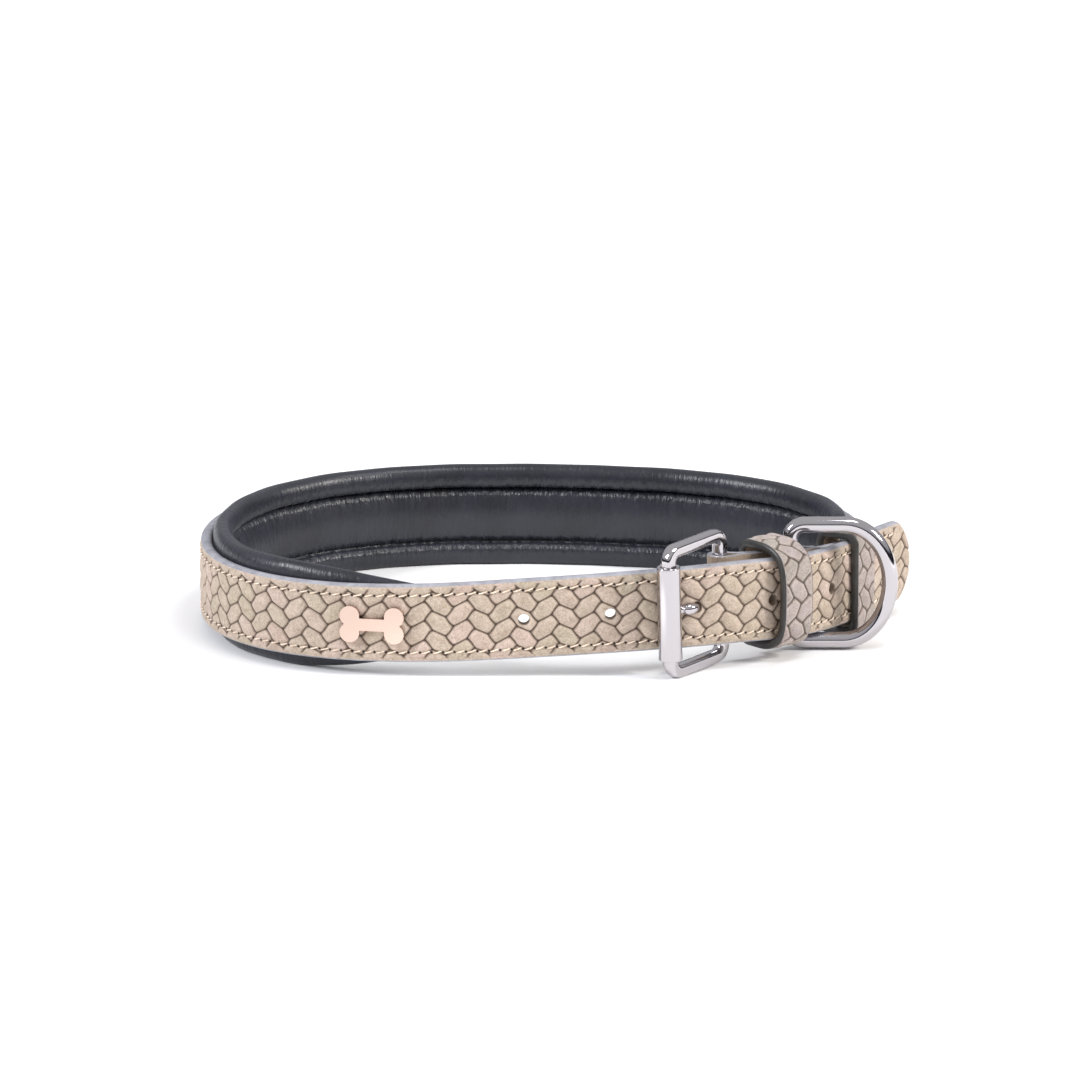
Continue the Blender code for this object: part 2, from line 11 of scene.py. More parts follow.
import bmesh
import bpy
import numpy as np
from mathutils import Matrix, Vector


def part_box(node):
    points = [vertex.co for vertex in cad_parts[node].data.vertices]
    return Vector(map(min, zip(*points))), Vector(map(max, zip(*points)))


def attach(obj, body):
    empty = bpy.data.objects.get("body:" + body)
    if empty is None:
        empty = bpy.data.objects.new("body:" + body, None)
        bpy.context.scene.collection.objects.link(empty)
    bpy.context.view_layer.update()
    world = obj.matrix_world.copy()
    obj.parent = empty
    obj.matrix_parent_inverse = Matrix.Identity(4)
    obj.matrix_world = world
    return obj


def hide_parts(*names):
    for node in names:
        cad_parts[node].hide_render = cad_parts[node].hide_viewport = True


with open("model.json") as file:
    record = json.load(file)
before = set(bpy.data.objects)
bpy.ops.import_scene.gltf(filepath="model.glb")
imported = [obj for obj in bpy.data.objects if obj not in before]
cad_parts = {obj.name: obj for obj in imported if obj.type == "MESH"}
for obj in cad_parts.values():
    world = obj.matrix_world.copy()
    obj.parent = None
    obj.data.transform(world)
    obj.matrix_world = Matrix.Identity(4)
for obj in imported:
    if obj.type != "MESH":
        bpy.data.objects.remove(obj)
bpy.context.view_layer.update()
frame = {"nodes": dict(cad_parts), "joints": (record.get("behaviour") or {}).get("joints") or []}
MM = 0.001


# The strap: two layers of nubuck calf glued over a stiff core, 3.6 mm thick, hot-stamped with a
# woven relief, sewn along both edges and closed with edge paint. It is bent round by hand, so
# its middle line is a soft curve, given here as the same shares of the loop as in the solids.
LOOP_WIDTH = 206 * MM
LOOP_DEPTH = 147 * MM
PAD_HEIGHT = 32 * MM
STRAP_WIDTH = 25 * MM
STRAP_THICKNESS = 3.6 * MM
LAYER_GAP = 0.3 * MM
TIP_LENGTH = 6.5 * MM
TIP_END_SHARE = 0.25

# Columns: x and y as shares of half the loop, the height of the strap's middle as a share of
# half the padding's height, and the strap's width as a share of its own.
LOOP_ROWS = (
    (0.967, 0.06, 1.06, 0.99),
    (0.922, 0.37, 1.02, 0.96),
    (0.775, 0.68, 1.00, 0.96),
    (0.535, 0.89, 1.00, 0.96),
    (0.25, 0.985, 1.00, 0.96),
    (-0.04, 1.025, 1.00, 0.96),
    (-0.325, 1.01, 1.00, 0.96),
    (-0.60, 0.90, 1.00, 0.96),
    (-0.84, 0.645, 1.00, 0.96),
    (-0.976, 0.285, 1.00, 0.96),
    (-1.010, -0.11, 1.00, 0.96),
    (-0.962, -0.49, 1.00, 0.96),
    (-0.807, -0.785, 1.01, 0.96),
    (-0.585, -0.94, 1.02, 0.96),
    (-0.325, -0.998, 1.06, 0.98),
    (-0.06, -0.985, 1.145, 1.00),
    (0.19, -0.98, 1.24, 1.00),
)
FREE_END_ROWS = (
    (0.365, -0.955, 1.30, 1.01),
    (0.485, -0.905, 1.31, 1.02),
    (0.59, -0.835, 1.305, 1.024),
    (0.687, -0.745, 1.25, 1.03),
    (0.775, -0.635, 1.195, 1.035),
    (0.852, -0.51, 1.165, 1.035),
    (0.922, -0.365, 1.145, 1.035),
    (0.982, -0.205, 1.14, 1.035),
    (1.04, -0.05, 1.135, 1.03),
    (1.11, 0.085, 1.11, 1.024),
)
PRONG_HOLE_X = 0.462
PRONG_HOLE_TO_RING = 42.5 * MM
PRONG_HOLE_TO_REAR_KEEPER = 68 * MM
FOLD_TAIL = 10 * MM
KEEPER_LENGTH = 12.2 * MM


def smooth_curve(control, steps):
    """Points along a uniform cubic B-spline whose ends are the first and last rows."""
    rows = np.vstack([control[:1] * 2 - control[1:2], control, control[-1:] * 2 - control[-2:-1]])
    t = (np.arange(steps) / steps)[:, None]
    blend = ((1 - t) ** 3, 3 * t**3 - 6 * t**2 + 4, -3 * t**3 + 3 * t**2 + 3 * t + 1, t**3)
    spans = [sum(b * rows[i + k] for k, b in enumerate(blend)) / 6 for i in range(len(rows) - 3)]
    return np.vstack([*spans, control[-1:]])


def distances(line):
    """How far along a line of flat points each of them lies."""
    return np.concatenate([[0.0], np.cumsum(np.hypot(*np.diff(line, axis=0).T))])


class Route:
    """The middle line of a run of leather: columns x, y, height and width."""

    def __init__(self, columns):
        self.columns = columns
        self.along = distances(columns[:, :2])
        self.length = self.along[-1]

    def at(self, place):
        found = [np.interp(place, self.along, column) for column in self.columns.T]
        return np.stack(found, axis=-1)

    def tangent(self, place):
        reach = 2 * MM
        ahead = self.at(np.minimum(place + reach, self.length))
        behind = self.at(np.maximum(place - reach, 0.0))
        step = (ahead - behind)[..., :2]
        return step / np.linalg.norm(step, axis=-1, keepdims=True)

    def outward(self, place):
        along = self.tangent(place)
        return np.stack([along[..., 1], -along[..., 0]], axis=-1)

    def points(self, place, out, up):
        """World points: out from the strap's middle and up from its centre line."""
        place, out, up = np.broadcast_arrays(place, out, up)
        row = self.at(place)
        flat = row[..., :2] + self.outward(place) * out[..., None]
        return np.concatenate([flat, (row[..., 2] + up)[..., None]], axis=-1)


def in_metres(rows):
    """A table of shares as metres."""
    return np.array(rows) * (LOOP_WIDTH / 2, LOOP_DEPTH / 2, PAD_HEIGHT / 2, STRAP_WIDTH)


UNDER_ROWS = 7


def under_rows(first, last):
    """The rows of the strap's first stretch, lying against the inner face of the free end."""
    places = np.linspace(first, last, UNDER_ROWS)
    spots = free_end.points(places, -(STRAP_THICKNESS + LAYER_GAP), 0.0)
    share = (places - first) / (last - first)
    heights = spots[:, 2] + (LOOP_ROWS[0][2] * PAD_HEIGHT / 2 - spots[:, 2]) * share
    return np.column_stack([spots[:, :2], heights, np.full(UNDER_ROWS, STRAP_WIDTH)])


ROUTE_STEPS = 40
ROUTE_CHECKS = 2000
free_end = Route(smooth_curve(in_metres(LOOP_ROWS[-3:] + FREE_END_ROWS), ROUTE_STEPS))
prong_x = PRONG_HOLE_X * LOOP_WIDTH / 2
prong_place = float(np.interp(prong_x, free_end.columns[:, 0], free_end.along))
ring_place = prong_place + PRONG_HOLE_TO_RING
rear_keeper_place = prong_place + PRONG_HOLE_TO_REAR_KEEPER
first_place = ring_place + FOLD_TAIL + LAYER_GAP
lift_off = rear_keeper_place + KEEPER_LENGTH / 2
loop_rows = in_metres(LOOP_ROWS + FREE_END_ROWS)
strap_rows = np.vstack([under_rows(first_place, lift_off), loop_rows])
strap_route = Route(smooth_curve(strap_rows, ROUTE_STEPS))

# The solids stand with their box centred over the origin, so the route moves there too.
own_places = np.linspace(0, strap_route.length, ROUTE_CHECKS)[:, None]
own = strap_route.points(own_places, STRAP_THICKNESS / 2, 0.0)
solid_low, solid_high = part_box("strap")
shift = np.array([
    solid_low.x - own[..., 0].min(),
    solid_high.y - own[..., 1].max(),
    0.0,
    0.0,
])
free_end = Route(free_end.columns + shift)
strap_route = Route(strap_route.columns + shift)
free_start = strap_route.length - free_end.length
prong_hole = free_start + prong_place

# The stamped weave: puffed cells in columns, leaning one way and the other, half a cell apart.
# Its grooves are finer than the mesh, so the mesh carries three fields that run smoothly through
# zero in them: one between the columns, and one up each kind of column.
CELL_COLUMN = 6.4 * MM
CELL_PITCH = 6.0 * MM
CELL_LONG = 4.6 * MM
CELL_SHORT = 2.6 * MM
CELL_LEAN = math.radians(38)
CELL_SQUARENESS = 2.3
CELL_RELIEF = 0.7 * MM
CELL_CROWN = 0.3
SHADE_SEEDS = (12.9898, 78.233, 43.7585)
# These are in a cell's own measure, which is 0 at its middle and 1 on its oval.
GROOVE_ROUND = 0.12
GROOVE_WALL = 0.28
FAR_AWAY = 9.0


def weave(along, up):
    """The stamped relief from 0 to 1, and the fields that the leather's shader draws it from."""
    nearest = np.full((2, 2, *np.shape(along)), FAR_AWAY)
    closest = np.full(np.shape(along), FAR_AWAY)
    cell = np.zeros(np.shape(along))
    for beside in (-1, 0, 1):
        column = np.round(along / CELL_COLUMN) + beside
        odd = np.mod(column, 2)
        lean = np.where(odd == 0, -CELL_LEAN, CELL_LEAN)
        for above in (-1, 0, 1):
            row = np.round(up / CELL_PITCH - odd / 2) + above
            across = along - column * CELL_COLUMN
            rise = up - (row + odd / 2) * CELL_PITCH
            long_way = across * np.cos(lean) + rise * np.sin(lean)
            short_way = rise * np.cos(lean) - across * np.sin(lean)
            away = (
                np.abs(long_way / CELL_LONG) ** CELL_SQUARENESS
                + np.abs(short_way / CELL_SHORT) ** CELL_SQUARENESS
            ) ** (1 / CELL_SQUARENESS)
            seed = column * SHADE_SEEDS[0] + row * SHADE_SEEDS[1]
            cell = np.where(away < closest, seed, cell)
            closest = np.minimum(closest, away)
            for kind in (0, 1):
                for parity in (0, 1):
                    counts = (odd == kind) & (np.mod(row, 2) == parity)
                    held = nearest[kind, parity]
                    nearest[kind, parity] = np.where(counts, np.minimum(held, away), held)
    columns = nearest[0].min(axis=0) - nearest[1].min(axis=0)
    even_rows = nearest[0, 0] - nearest[0, 1]
    odd_rows = nearest[1, 0] - nearest[1, 1]
    gap = np.minimum(np.abs(columns), np.abs(np.where(columns < 0, even_rows, odd_rows)))
    soft_gap = np.sqrt(gap**2 + GROOVE_ROUND**2) - GROOVE_ROUND
    relief = (1 - np.exp(-soft_gap / GROOVE_WALL)) * (1 - CELL_CROWN * closest**2)
    shade = np.modf(np.abs(np.sin(cell)) * SHADE_SEEDS[2])[0]
    fields = {"columns": columns, "even_rows": even_rows, "odd_rows": odd_rows, "shade": shade}
    return relief, fields


def put_in_scene(name, data):
    """A new object in the scene, round a mesh, a light or a camera."""
    made = bpy.data.objects.new(name, data)
    bpy.context.scene.collection.objects.link(made)
    return made


def lofted(name, points, ends="capped", slots=None, **marks):
    """A skin over rings of points, with materials by place in the ring and point attributes."""
    stations, ring = points.shape[:2]
    index = np.arange(stations * ring).reshape(stations, ring)
    here = index if ends == "joined" else index[:-1]
    after = np.roll(index, -1, axis=0) if ends == "joined" else index[1:]
    quads = np.stack([here, np.roll(here, -1, axis=1), np.roll(after, -1, axis=1), after], axis=-1)
    faces = quads.reshape(-1, 4).tolist()
    if ends == "capped":
        faces += [index[0][::-1].tolist(), index[-1].tolist()]
    data = bpy.data.meshes.new(name)
    data.from_pydata(points.reshape(-1, 3).tolist(), [], faces)
    if slots is not None:
        spread = np.tile(slots, len(here)).tolist()
        spread += [int(slots[0])] * (len(faces) - len(spread))
        data.polygons.foreach_set("material_index", spread)
    for mark, values in marks.items():
        held = np.broadcast_to(values, (stations, ring)).astype(np.float32)
        data.attributes.new(mark, "FLOAT", "POINT").data.foreach_set("value", held.ravel())
    data.shade_smooth()
    data.update()
    return put_in_scene(name, data)


def face_outward(piece):
    """Turns every face of a closed skin to look outward."""
    mesh = bmesh.new()
    mesh.from_mesh(piece.data)
    bmesh.ops.recalc_face_normals(mesh, faces=mesh.faces)
    mesh.to_mesh(piece.data)
    mesh.free()
    return piece


def bake_modifiers(piece):
    """Turns a piece's modifiers into its mesh."""
    bpy.context.view_layer.update()
    graph = bpy.context.evaluated_depsgraph_get()
    shaped = bpy.data.meshes.new_from_object(piece.evaluated_get(graph), depsgraph=graph)
    piece.modifiers.clear()
    piece.data = shaped
    return piece


# The strap's outline goes round an embossed outer face, two painted edges and a plain back.
STATION = 0.56 * MM
EDGE_ROUND = 1.15 * MM
FACE_LINES = 46
EDGE_LINES = 8
BACK_LINES = 5
STITCH_PITCH = 3.45 * MM
STITCH_INSET = 3.3 * MM
STITCH_LENGTH = 2.5 * MM
STITCH_LEAN = 0.34 * MM
THREAD_RADIUS = 0.25 * MM
NEEDLE_RADIUS = 0.42 * MM
SEAM_DEPTH = 0.16 * MM

edge_turn = np.linspace(0, math.pi, EDGE_LINES + 1)
face_up = np.linspace(1, -1, FACE_LINES + 1)[1:-1]
back_up = np.linspace(-1, 1, BACK_LINES + 1)[1:-1]
outline_out = np.concatenate([
    np.ones(len(face_up)), np.cos(edge_turn), -np.ones(len(back_up)), -np.cos(edge_turn),
]) * STRAP_THICKNESS / 2
outline_flat = np.concatenate([
    face_up, -np.ones(len(edge_turn)), back_up, np.ones(len(edge_turn)),
])
outline_round = np.concatenate([
    np.zeros(len(face_up)), -np.sin(edge_turn), np.zeros(len(back_up)), np.sin(edge_turn),
]) * EDGE_ROUND
on_face = (outline_out > STRAP_THICKNESS / 2 * 0.999).astype(float)
EDGE_SLOT, BACK_SLOT = 1, 2
strap_slots = np.zeros(len(outline_out), int)
start_low = len(face_up)
strap_slots[start_low + 1 : start_low + EDGE_LINES - 1] = EDGE_SLOT
strap_slots[start_low + EDGE_LINES - 1 : start_low + EDGE_LINES + len(back_up) + 2] = BACK_SLOT
start_high = start_low + EDGE_LINES + 1 + len(back_up)
strap_slots[start_high + 1 : start_high + EDGE_LINES - 1] = EDGE_SLOT

END_ROUND = 0.9 * MM
END_TURN = np.radians([12, 35, 60, 80])
middle_places = np.arange(END_ROUND, strap_route.length - END_ROUND, STATION)
end_places = END_ROUND * (1 - np.sin(END_TURN))
end_full = np.cos(END_TURN)
strap_places = np.concatenate([end_places[::-1], middle_places, strap_route.length - end_places])
strap_full = np.concatenate([end_full[::-1], np.ones(len(middle_places)), end_full])

TIP_REACH = 1.15 * TIP_LENGTH
TIP_SIDE_ROUND = 1.9
TIP_END_ROUND = 0.9


def tip_share(place):
    """How much of the strap's width is left near its point."""
    to_tip = np.clip((strap_route.length - place) / TIP_REACH, 0.0, 1.0)
    full = (1 - (1 - to_tip) ** TIP_SIDE_ROUND) ** TIP_END_ROUND
    return TIP_END_SHARE + (1 - TIP_END_SHARE) * full


NO_SEAM = 50 * MM


def beside_seam(place, up, half_width):
    """The distance from the nearer line of stitches, or a long way where there are none."""
    sewn = place < strap_route.length - TIP_LENGTH - STITCH_INSET
    return np.where(sewn, np.abs(up) - (half_width - STITCH_INSET), NO_SEAM)


# The relief is level with the solid's face at this share of its height. It runs out at the
# painted edge, and the stitches press it down.
LEVEL_RELIEF = 0.6
EDGE_FADE = 0.8 * MM
SEAM_PRESS = 0.5

place_grid = strap_places[:, None]
half_width = strap_route.at(strap_places)[:, 3:] / 2 * tip_share(place_grid)
up_grid = outline_flat * (half_width - EDGE_ROUND) + outline_round
relief, fields = weave(place_grid + 0 * up_grid, up_grid)
beside = beside_seam(place_grid, up_grid, half_width)
seam = np.exp(-((beside / (2 * NEEDLE_RADIUS)) ** 2))
fade_edge = np.clip((half_width - EDGE_ROUND - np.abs(up_grid)) / EDGE_FADE, 0.0, 1.0)
raised = (relief - LEVEL_RELIEF) * CELL_RELIEF * fade_edge * (1 - SEAM_PRESS * seam)
lift = on_face * (raised - seam * SEAM_DEPTH)
out_grid = outline_out * strap_full[:, None] + lift
strap = lofted(
    "strap_leather",
    strap_route.points(place_grid, out_grid, up_grid),
    slots=strap_slots,
    stamped=on_face * fade_edge,
    along=place_grid + 0 * up_grid,
    beside=np.where(on_face > 0, beside, NO_SEAM),
    **fields,
)

# Five round holes are punched through the strap. The middle one holds the prong.
HOLE_DIAMETER = 3.5 * MM
HOLE_SPACING = 26.2 * MM
punch_mesh = bmesh.new()
for number in (-2, -1, 0, 1, 2):
    hole = prong_hole + HOLE_SPACING * number
    spot = strap_route.points(hole, 0.0, 0.0)
    out = strap_route.outward(hole)
    turn = Vector((out[0], out[1], 0.0)).to_track_quat("Z", "Y").to_matrix().to_4x4()
    bmesh.ops.create_cone(
        punch_mesh,
        cap_ends=True,
        segments=40,
        radius1=HOLE_DIAMETER / 2,
        radius2=HOLE_DIAMETER / 2,
        depth=STRAP_THICKNESS * 3,
        matrix=Matrix.Translation(spot) @ turn,
    )
punch_data = bpy.data.meshes.new("punch")
punch_mesh.to_mesh(punch_data)
punch_mesh.free()
punch = put_in_scene("punch", punch_data)


def srgb(code):
    """A hex colour as the linear numbers that the shaders take."""
    parts = [int(code[i : i + 2], 16) / 255 for i in (1, 3, 5)]
    linear = (c / 12.92 if c <= 0.04045 else ((c + 0.055) / 1.055) ** 2.4 for c in parts)
    return (*linear, 1.0)


def plug(tree, made, inputs):
    """Sets a node's inputs: sockets are linked, and plain values go straight on them."""
    for key, value in inputs.items():
        if isinstance(value, bpy.types.NodeSocket):
            tree.links.new(value, made.inputs[key])
        else:
            made.inputs[key].default_value = value


def node(tree, kind, *values, out=0, stops=(), **named):
    """Adds a node and gives back one of its outputs.

    Values go to its inputs in order, by a name with a capital, or by _ and a number. Other names
    are the node's own settings, and stops are the places and colours of a ramp.
    """
    made = tree.nodes.new("ShaderNode" + kind)
    inputs = dict(enumerate(values))
    for key, value in named.items():
        if key[0].islower():
            setattr(made, key, value)
        else:
            inputs[int(key[1:]) if key[0] == "_" else key.replace("_", " ")] = value
    plug(tree, made, inputs)
    for _ in stops[2:]:
        made.color_ramp.elements.new(0.5)
    for number, (place, colour) in enumerate(stops):
        made.color_ramp.elements[number].position = place
        made.color_ramp.elements[number].color = srgb(colour)
    return made.outputs[out]


def new_material(name):
    """An empty Principled material, its tree and its shader."""
    made = bpy.data.materials.new(name)
    made.use_nodes = True
    return made, made.node_tree, made.node_tree.nodes["Principled BSDF"]


# Nubuck: calf sanded on its grain side, so it is matt and velvety, with a nap under 0.3 mm that
# is drawn at 0.45 mm so that it shows. The stamp burns its grooves darker, and each cell takes
# the dye a little differently. Painted shade lies beside the grooves, where they meet, along the
# seams and in the needle holes, with a painted highlight on each cell's rim. A texture's scale
# is how many of its marks make a millimetre.
# Widths are in a cell's own measure, and a share is how far a shade goes.
GROOVE_WIDTH, GROOVE_SOFTNESS, GROOVE_WANDER = 0.21, 0.25, 0.09
CROSSING_WIDTH, CROSSING_SHARE = 0.62, 1.5
HOLLOW_WIDTH, HOLLOW_POWER, HOLLOW_SHARE = 0.75, 1.6, 0.55
RIM_PLACE, RIM_POWER, RIM_SHARE = 0.42, 9.0, 0.28
SEAM_SHADE_SHARE = 0.45
NEEDLE_BLUR = 1.6
PRESSED_WIDTH = 0.4
PRESSED_DEPTH = 0.3 * MM
NAP_DEPTH = 0.16 * MM
# How a Mix node lays one colour over another, and how it multiplies one by another.
LAID = {"data_type": "RGBA", "out": 2}
MULTIPLIED = {**LAID, "blend_type": "MULTIPLY"}


def nubuck(name, cell_colours, groove_colour, pores):
    made, tree, shader = new_material(name)
    columns, even_rows, odd_rows, stamped, shade, along, beside = (
        node(tree, "Attribute", attribute_name=field, out="Fac")
        for field in ("columns", "even_rows", "odd_rows", "stamped", "shade", "along", "beside")
    )
    in_odd = node(tree, "Math", columns, 0.0, operation="GREATER_THAN")
    in_even = node(tree, "Math", 1.0, in_odd, operation="SUBTRACT")
    odd_rows = node(tree, "Math", odd_rows, in_odd, operation="MULTIPLY")
    even_rows = node(tree, "Math", even_rows, in_even, operation="MULTIPLY")
    off_row = node(tree, "Math", odd_rows, even_rows, operation="ADD")
    off_row = node(tree, "Math", off_row, operation="ABSOLUTE")
    off_column = node(tree, "Math", columns, operation="ABSOLUTE")
    spot = node(tree, "TexCoord", out="Object")
    wander = node(tree, "TexNoise", Vector=spot, Scale=0.9 / MM, Detail=2.0)
    wander = node(tree, "Math", wander, 0.5, operation="SUBTRACT")
    wander = node(tree, "Math", wander, GROOVE_WANDER, operation="MULTIPLY")
    gap = node(tree, "Math", off_column, off_row, operation="MINIMUM")
    gap = node(tree, "Math", gap, wander, operation="ADD")

    # The burnt line in each groove, and painted shade in the darker spot where grooves meet.
    line = node(tree, "Math", gap, GROOVE_WIDTH, operation="DIVIDE")
    line = node(tree, "Math", line, 1.0, GROOVE_SOFTNESS, operation="SMOOTH_MIN")
    line = node(tree, "Math", 1.0, line, operation="SUBTRACT", use_clamp=True)
    line = node(tree, "Math", line, stamped, operation="MULTIPLY", use_clamp=True)
    crossing_shade = node(tree, "Math", off_column, off_row, operation="ADD")
    crossing_shade = node(tree, "Math", crossing_shade, CROSSING_WIDTH, operation="DIVIDE")
    crossing_shade = node(tree, "Math", 1.0, crossing_shade, operation="SUBTRACT", use_clamp=True)
    crossing_shade = node(tree, "Math", crossing_shade, CROSSING_SHARE, operation="MULTIPLY")
    crossing_shade = node(tree, "Math", crossing_shade, stamped, operation="MULTIPLY", use_clamp=True)
    groove_and_shade = node(tree, "Math", line, crossing_shade, operation="MAXIMUM")

    # Painted shade beside a groove, and a painted highlight on the rim of each cell.
    hollow_shade = node(tree, "Math", gap, HOLLOW_WIDTH, operation="DIVIDE")
    hollow_shade = node(tree, "Math", 1.0, hollow_shade, operation="SUBTRACT", use_clamp=True)
    hollow_shade = node(tree, "Math", hollow_shade, HOLLOW_POWER, operation="POWER")
    hollow_shade = node(tree, "Math", hollow_shade, stamped, operation="MULTIPLY", use_clamp=True)
    hollow_shade = node(tree, "Math", hollow_shade, HOLLOW_SHARE, operation="MULTIPLY")
    rim_highlight = node(tree, "Math", gap, RIM_PLACE, operation="SUBTRACT")
    rim_highlight = node(tree, "Math", rim_highlight, operation="ABSOLUTE")
    rim_highlight = node(tree, "Math", 1.0, rim_highlight, operation="SUBTRACT", use_clamp=True)
    rim_highlight = node(tree, "Math", rim_highlight, RIM_POWER, operation="POWER")
    rim_highlight = node(tree, "Math", rim_highlight, stamped, operation="MULTIPLY", use_clamp=True)
    rim_highlight = node(tree, "Math", rim_highlight, RIM_SHARE, operation="MULTIPLY")

    # Painted shade where the thread pulls the leather in, and in its needle holes.
    off_seam = node(tree, "Math", beside, operation="ABSOLUTE")
    seam = node(tree, "Math", off_seam, 2 * NEEDLE_RADIUS, operation="DIVIDE")
    seam = node(tree, "Math", 1.0, seam, operation="SUBTRACT", use_clamp=True)
    seam = node(tree, "Math", seam, SEAM_SHADE_SHARE, operation="MULTIPLY")
    phase = node(tree, "Math", along, STITCH_PITCH, operation="DIVIDE")
    phase = node(tree, "Math", phase, operation="FRACT")
    phase = node(tree, "Math", phase, 0.5, operation="SUBTRACT")
    phase = node(tree, "Math", phase, STITCH_PITCH, operation="MULTIPLY")
    off_hole = node(tree, "CombineXYZ", phase, beside)
    off_hole = node(tree, "VectorMath", off_hole, operation="LENGTH", out="Value")
    needle_hole_shade = node(tree, "Math", off_hole, NEEDLE_RADIUS / NEEDLE_BLUR, operation="DIVIDE")
    needle_hole_shade = node(tree, "Math", 2.0, needle_hole_shade, operation="SUBTRACT", use_clamp=True)

    stops = [(i / (len(cell_colours) - 1), code) for i, code in enumerate(cell_colours)]
    dyed = node(tree, "ValToRGB", shade, stops=stops)
    cloud = node(tree, "TexNoise", Vector=spot, Scale=0.42 / MM, Detail=5.0, Roughness=0.62)
    cloud = node(tree, "ValToRGB", cloud, stops=((0.34, "#C9C3B8"), (0.66, "#FFFFFF")))
    dyed = node(tree, "Mix", 0.55, _6=dyed, _7=cloud, **MULTIPLIED)
    nap = node(tree, "TexNoise", Vector=spot, Scale=2.2 / MM, Detail=4.0, Roughness=0.7)
    nap_colour = node(tree, "ValToRGB", nap, stops=((0.36, pores), (0.60, "#FFFFFF")))
    dyed = node(tree, "Mix", 0.5, _6=dyed, _7=nap_colour, **MULTIPLIED)
    # Painted highlight on rims, painted shade beside grooves, where they meet, at seams and holes.
    dyed = node(tree, "Mix", rim_highlight, _6=dyed, _7=srgb("#EFE2D3"), **LAID)
    dyed = node(tree, "Mix", hollow_shade, _6=dyed, _7=srgb("#A08A78"), **MULTIPLIED)
    burnt_and_shaded = node(tree, "Mix", groove_and_shade, _6=dyed, _7=srgb(groove_colour), **LAID)
    seam_shaded = node(tree, "Mix", seam, _6=burnt_and_shaded, _7=srgb("#7C6A5A"), **LAID)
    hole_shaded = node(tree, "Mix", needle_hole_shade, _6=seam_shaded, _7=srgb("#1C1512"), **LAID)

    height = node(tree, "Math", gap, PRESSED_WIDTH, operation="DIVIDE")
    height = node(tree, "Math", height, 1.0, operation="MINIMUM")
    height = node(tree, "Math", height, stamped, operation="MULTIPLY")
    pressed = node(tree, "Bump", Height=height, Strength=0.6, Distance=PRESSED_DEPTH)
    plug(tree, shader, {
        "Base Color": hole_shaded,
        "Roughness": 0.82,
        "Specular IOR Level": 0.32,
        "Sheen Weight": 0.2,
        "Sheen Roughness": 0.5,
        "Sheen Tint": srgb("#F3E6D8"),
        "Normal": node(
            tree, "Bump", Height=nap, Strength=0.5, Distance=NAP_DEPTH, Normal=pressed
        ),
    })
    return made


# Edge paint: several coats of pigmented acrylic, sanded between coats, so it is smooth, satin
# and a little uneven.
def edge_paint(name, colour, shadow):
    made, tree, shader = new_material(name)
    spot = node(tree, "TexCoord", out="Object")
    drift = node(tree, "TexNoise", Vector=spot, Scale=0.26 / MM, Detail=3.0, Roughness=0.6)
    plug(tree, shader, {
        "Base Color": node(tree, "ValToRGB", drift, stops=((0.35, shadow), (0.65, colour))),
        "Roughness": 0.38,
        "Specular IOR Level": 0.5,
        "Normal": node(tree, "Bump", Height=drift, Strength=0.35, Distance=0.1 * MM),
    })
    return made


NUBUCK = nubuck(
    "stamped_nubuck", ("#D1C0B2", "#C9BAA9", "#D3BFB4", "#C6B9A6", "#CFBAAE"), "#41362F", "#9A8D82"
)
STRAP_PAINT = edge_paint("lavender_edge_paint", "#A5A5AC", "#8A8A92")
STRAP_BACK = nubuck("plain_nubuck_back", ("#C4B4A4", "#CBBCAC"), "#8C8072", "#9A8D82")

for material in (NUBUCK, STRAP_PAINT, STRAP_BACK):
    strap.data.materials.append(material)
face_outward(strap)
punch.data.materials.append(STRAP_BACK)
punching = strap.modifiers.new("punched_holes", "BOOLEAN")
punching.operation = "DIFFERENCE"
punching.solver = "EXACT"
punching.object = punch
bake_modifiers(strap)
bpy.data.objects.remove(punch)
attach(strap, "collar")
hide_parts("strap")


# The seam: waxed polyester thread, about 0.5 mm thick, in lock stitches along both edges. Each
# stitch dips into its needle holes and leans a little.
THREAD_RINGS = 7
THREAD_SIDES = 6
THREAD_ARCH = 0.34 * MM
THREAD_SUNK = 0.18 * MM
THREAD_PINCH = 0.28

seam_end = strap_route.length - TIP_LENGTH - STITCH_INSET
stitch_places = np.arange(2 * STITCH_PITCH, seam_end, STITCH_PITCH)
seam_line = strap_route.at(stitch_places)[:, 3] / 2 - STITCH_INSET
start = stitch_places[:, None, None]
run = np.linspace(0, 1, THREAD_RINGS)[:, None]
side = np.linspace(0, 2 * math.pi, THREAD_SIDES, endpoint=False)
arch = np.sin(run * math.pi)
height = STRAP_THICKNESS / 2 + arch * THREAD_ARCH - THREAD_SUNK
width = THREAD_RADIUS * (1 - THREAD_PINCH + THREAD_PINCH * arch)
stitch_ring = np.arange(THREAD_RINGS * THREAD_SIDES).reshape(THREAD_RINGS, THREAD_SIDES)
turned_ring = np.roll(stitch_ring, -1, axis=1)
tube = np.stack([stitch_ring[:-1], turned_ring[:-1], turned_ring[1:], stitch_ring[1:]], axis=-1)
tube = tube.reshape(-1, 4)
first_points = np.arange(2 * len(stitch_places))[:, None, None] * stitch_ring.size
stitches = []
for row in (1, -1):
    lean = row * seam_line[:, None, None] + (run - 0.5) * 2 * STITCH_LEAN
    along = start + (run - 0.5) * STITCH_LENGTH + 0 * side
    out = height + np.sin(side) * width + 0 * start
    points = strap_route.points(along, out, lean + np.cos(side) * width)
    stitches.append(points.reshape(-1, 3))
thread_data = bpy.data.meshes.new("seam_thread")
thread_data.from_pydata(
    np.vstack(stitches).tolist(), [], (tube + first_points).reshape(-1, 4).tolist()
)
thread_data.shade_smooth()
thread = put_in_scene("seam_thread", thread_data)

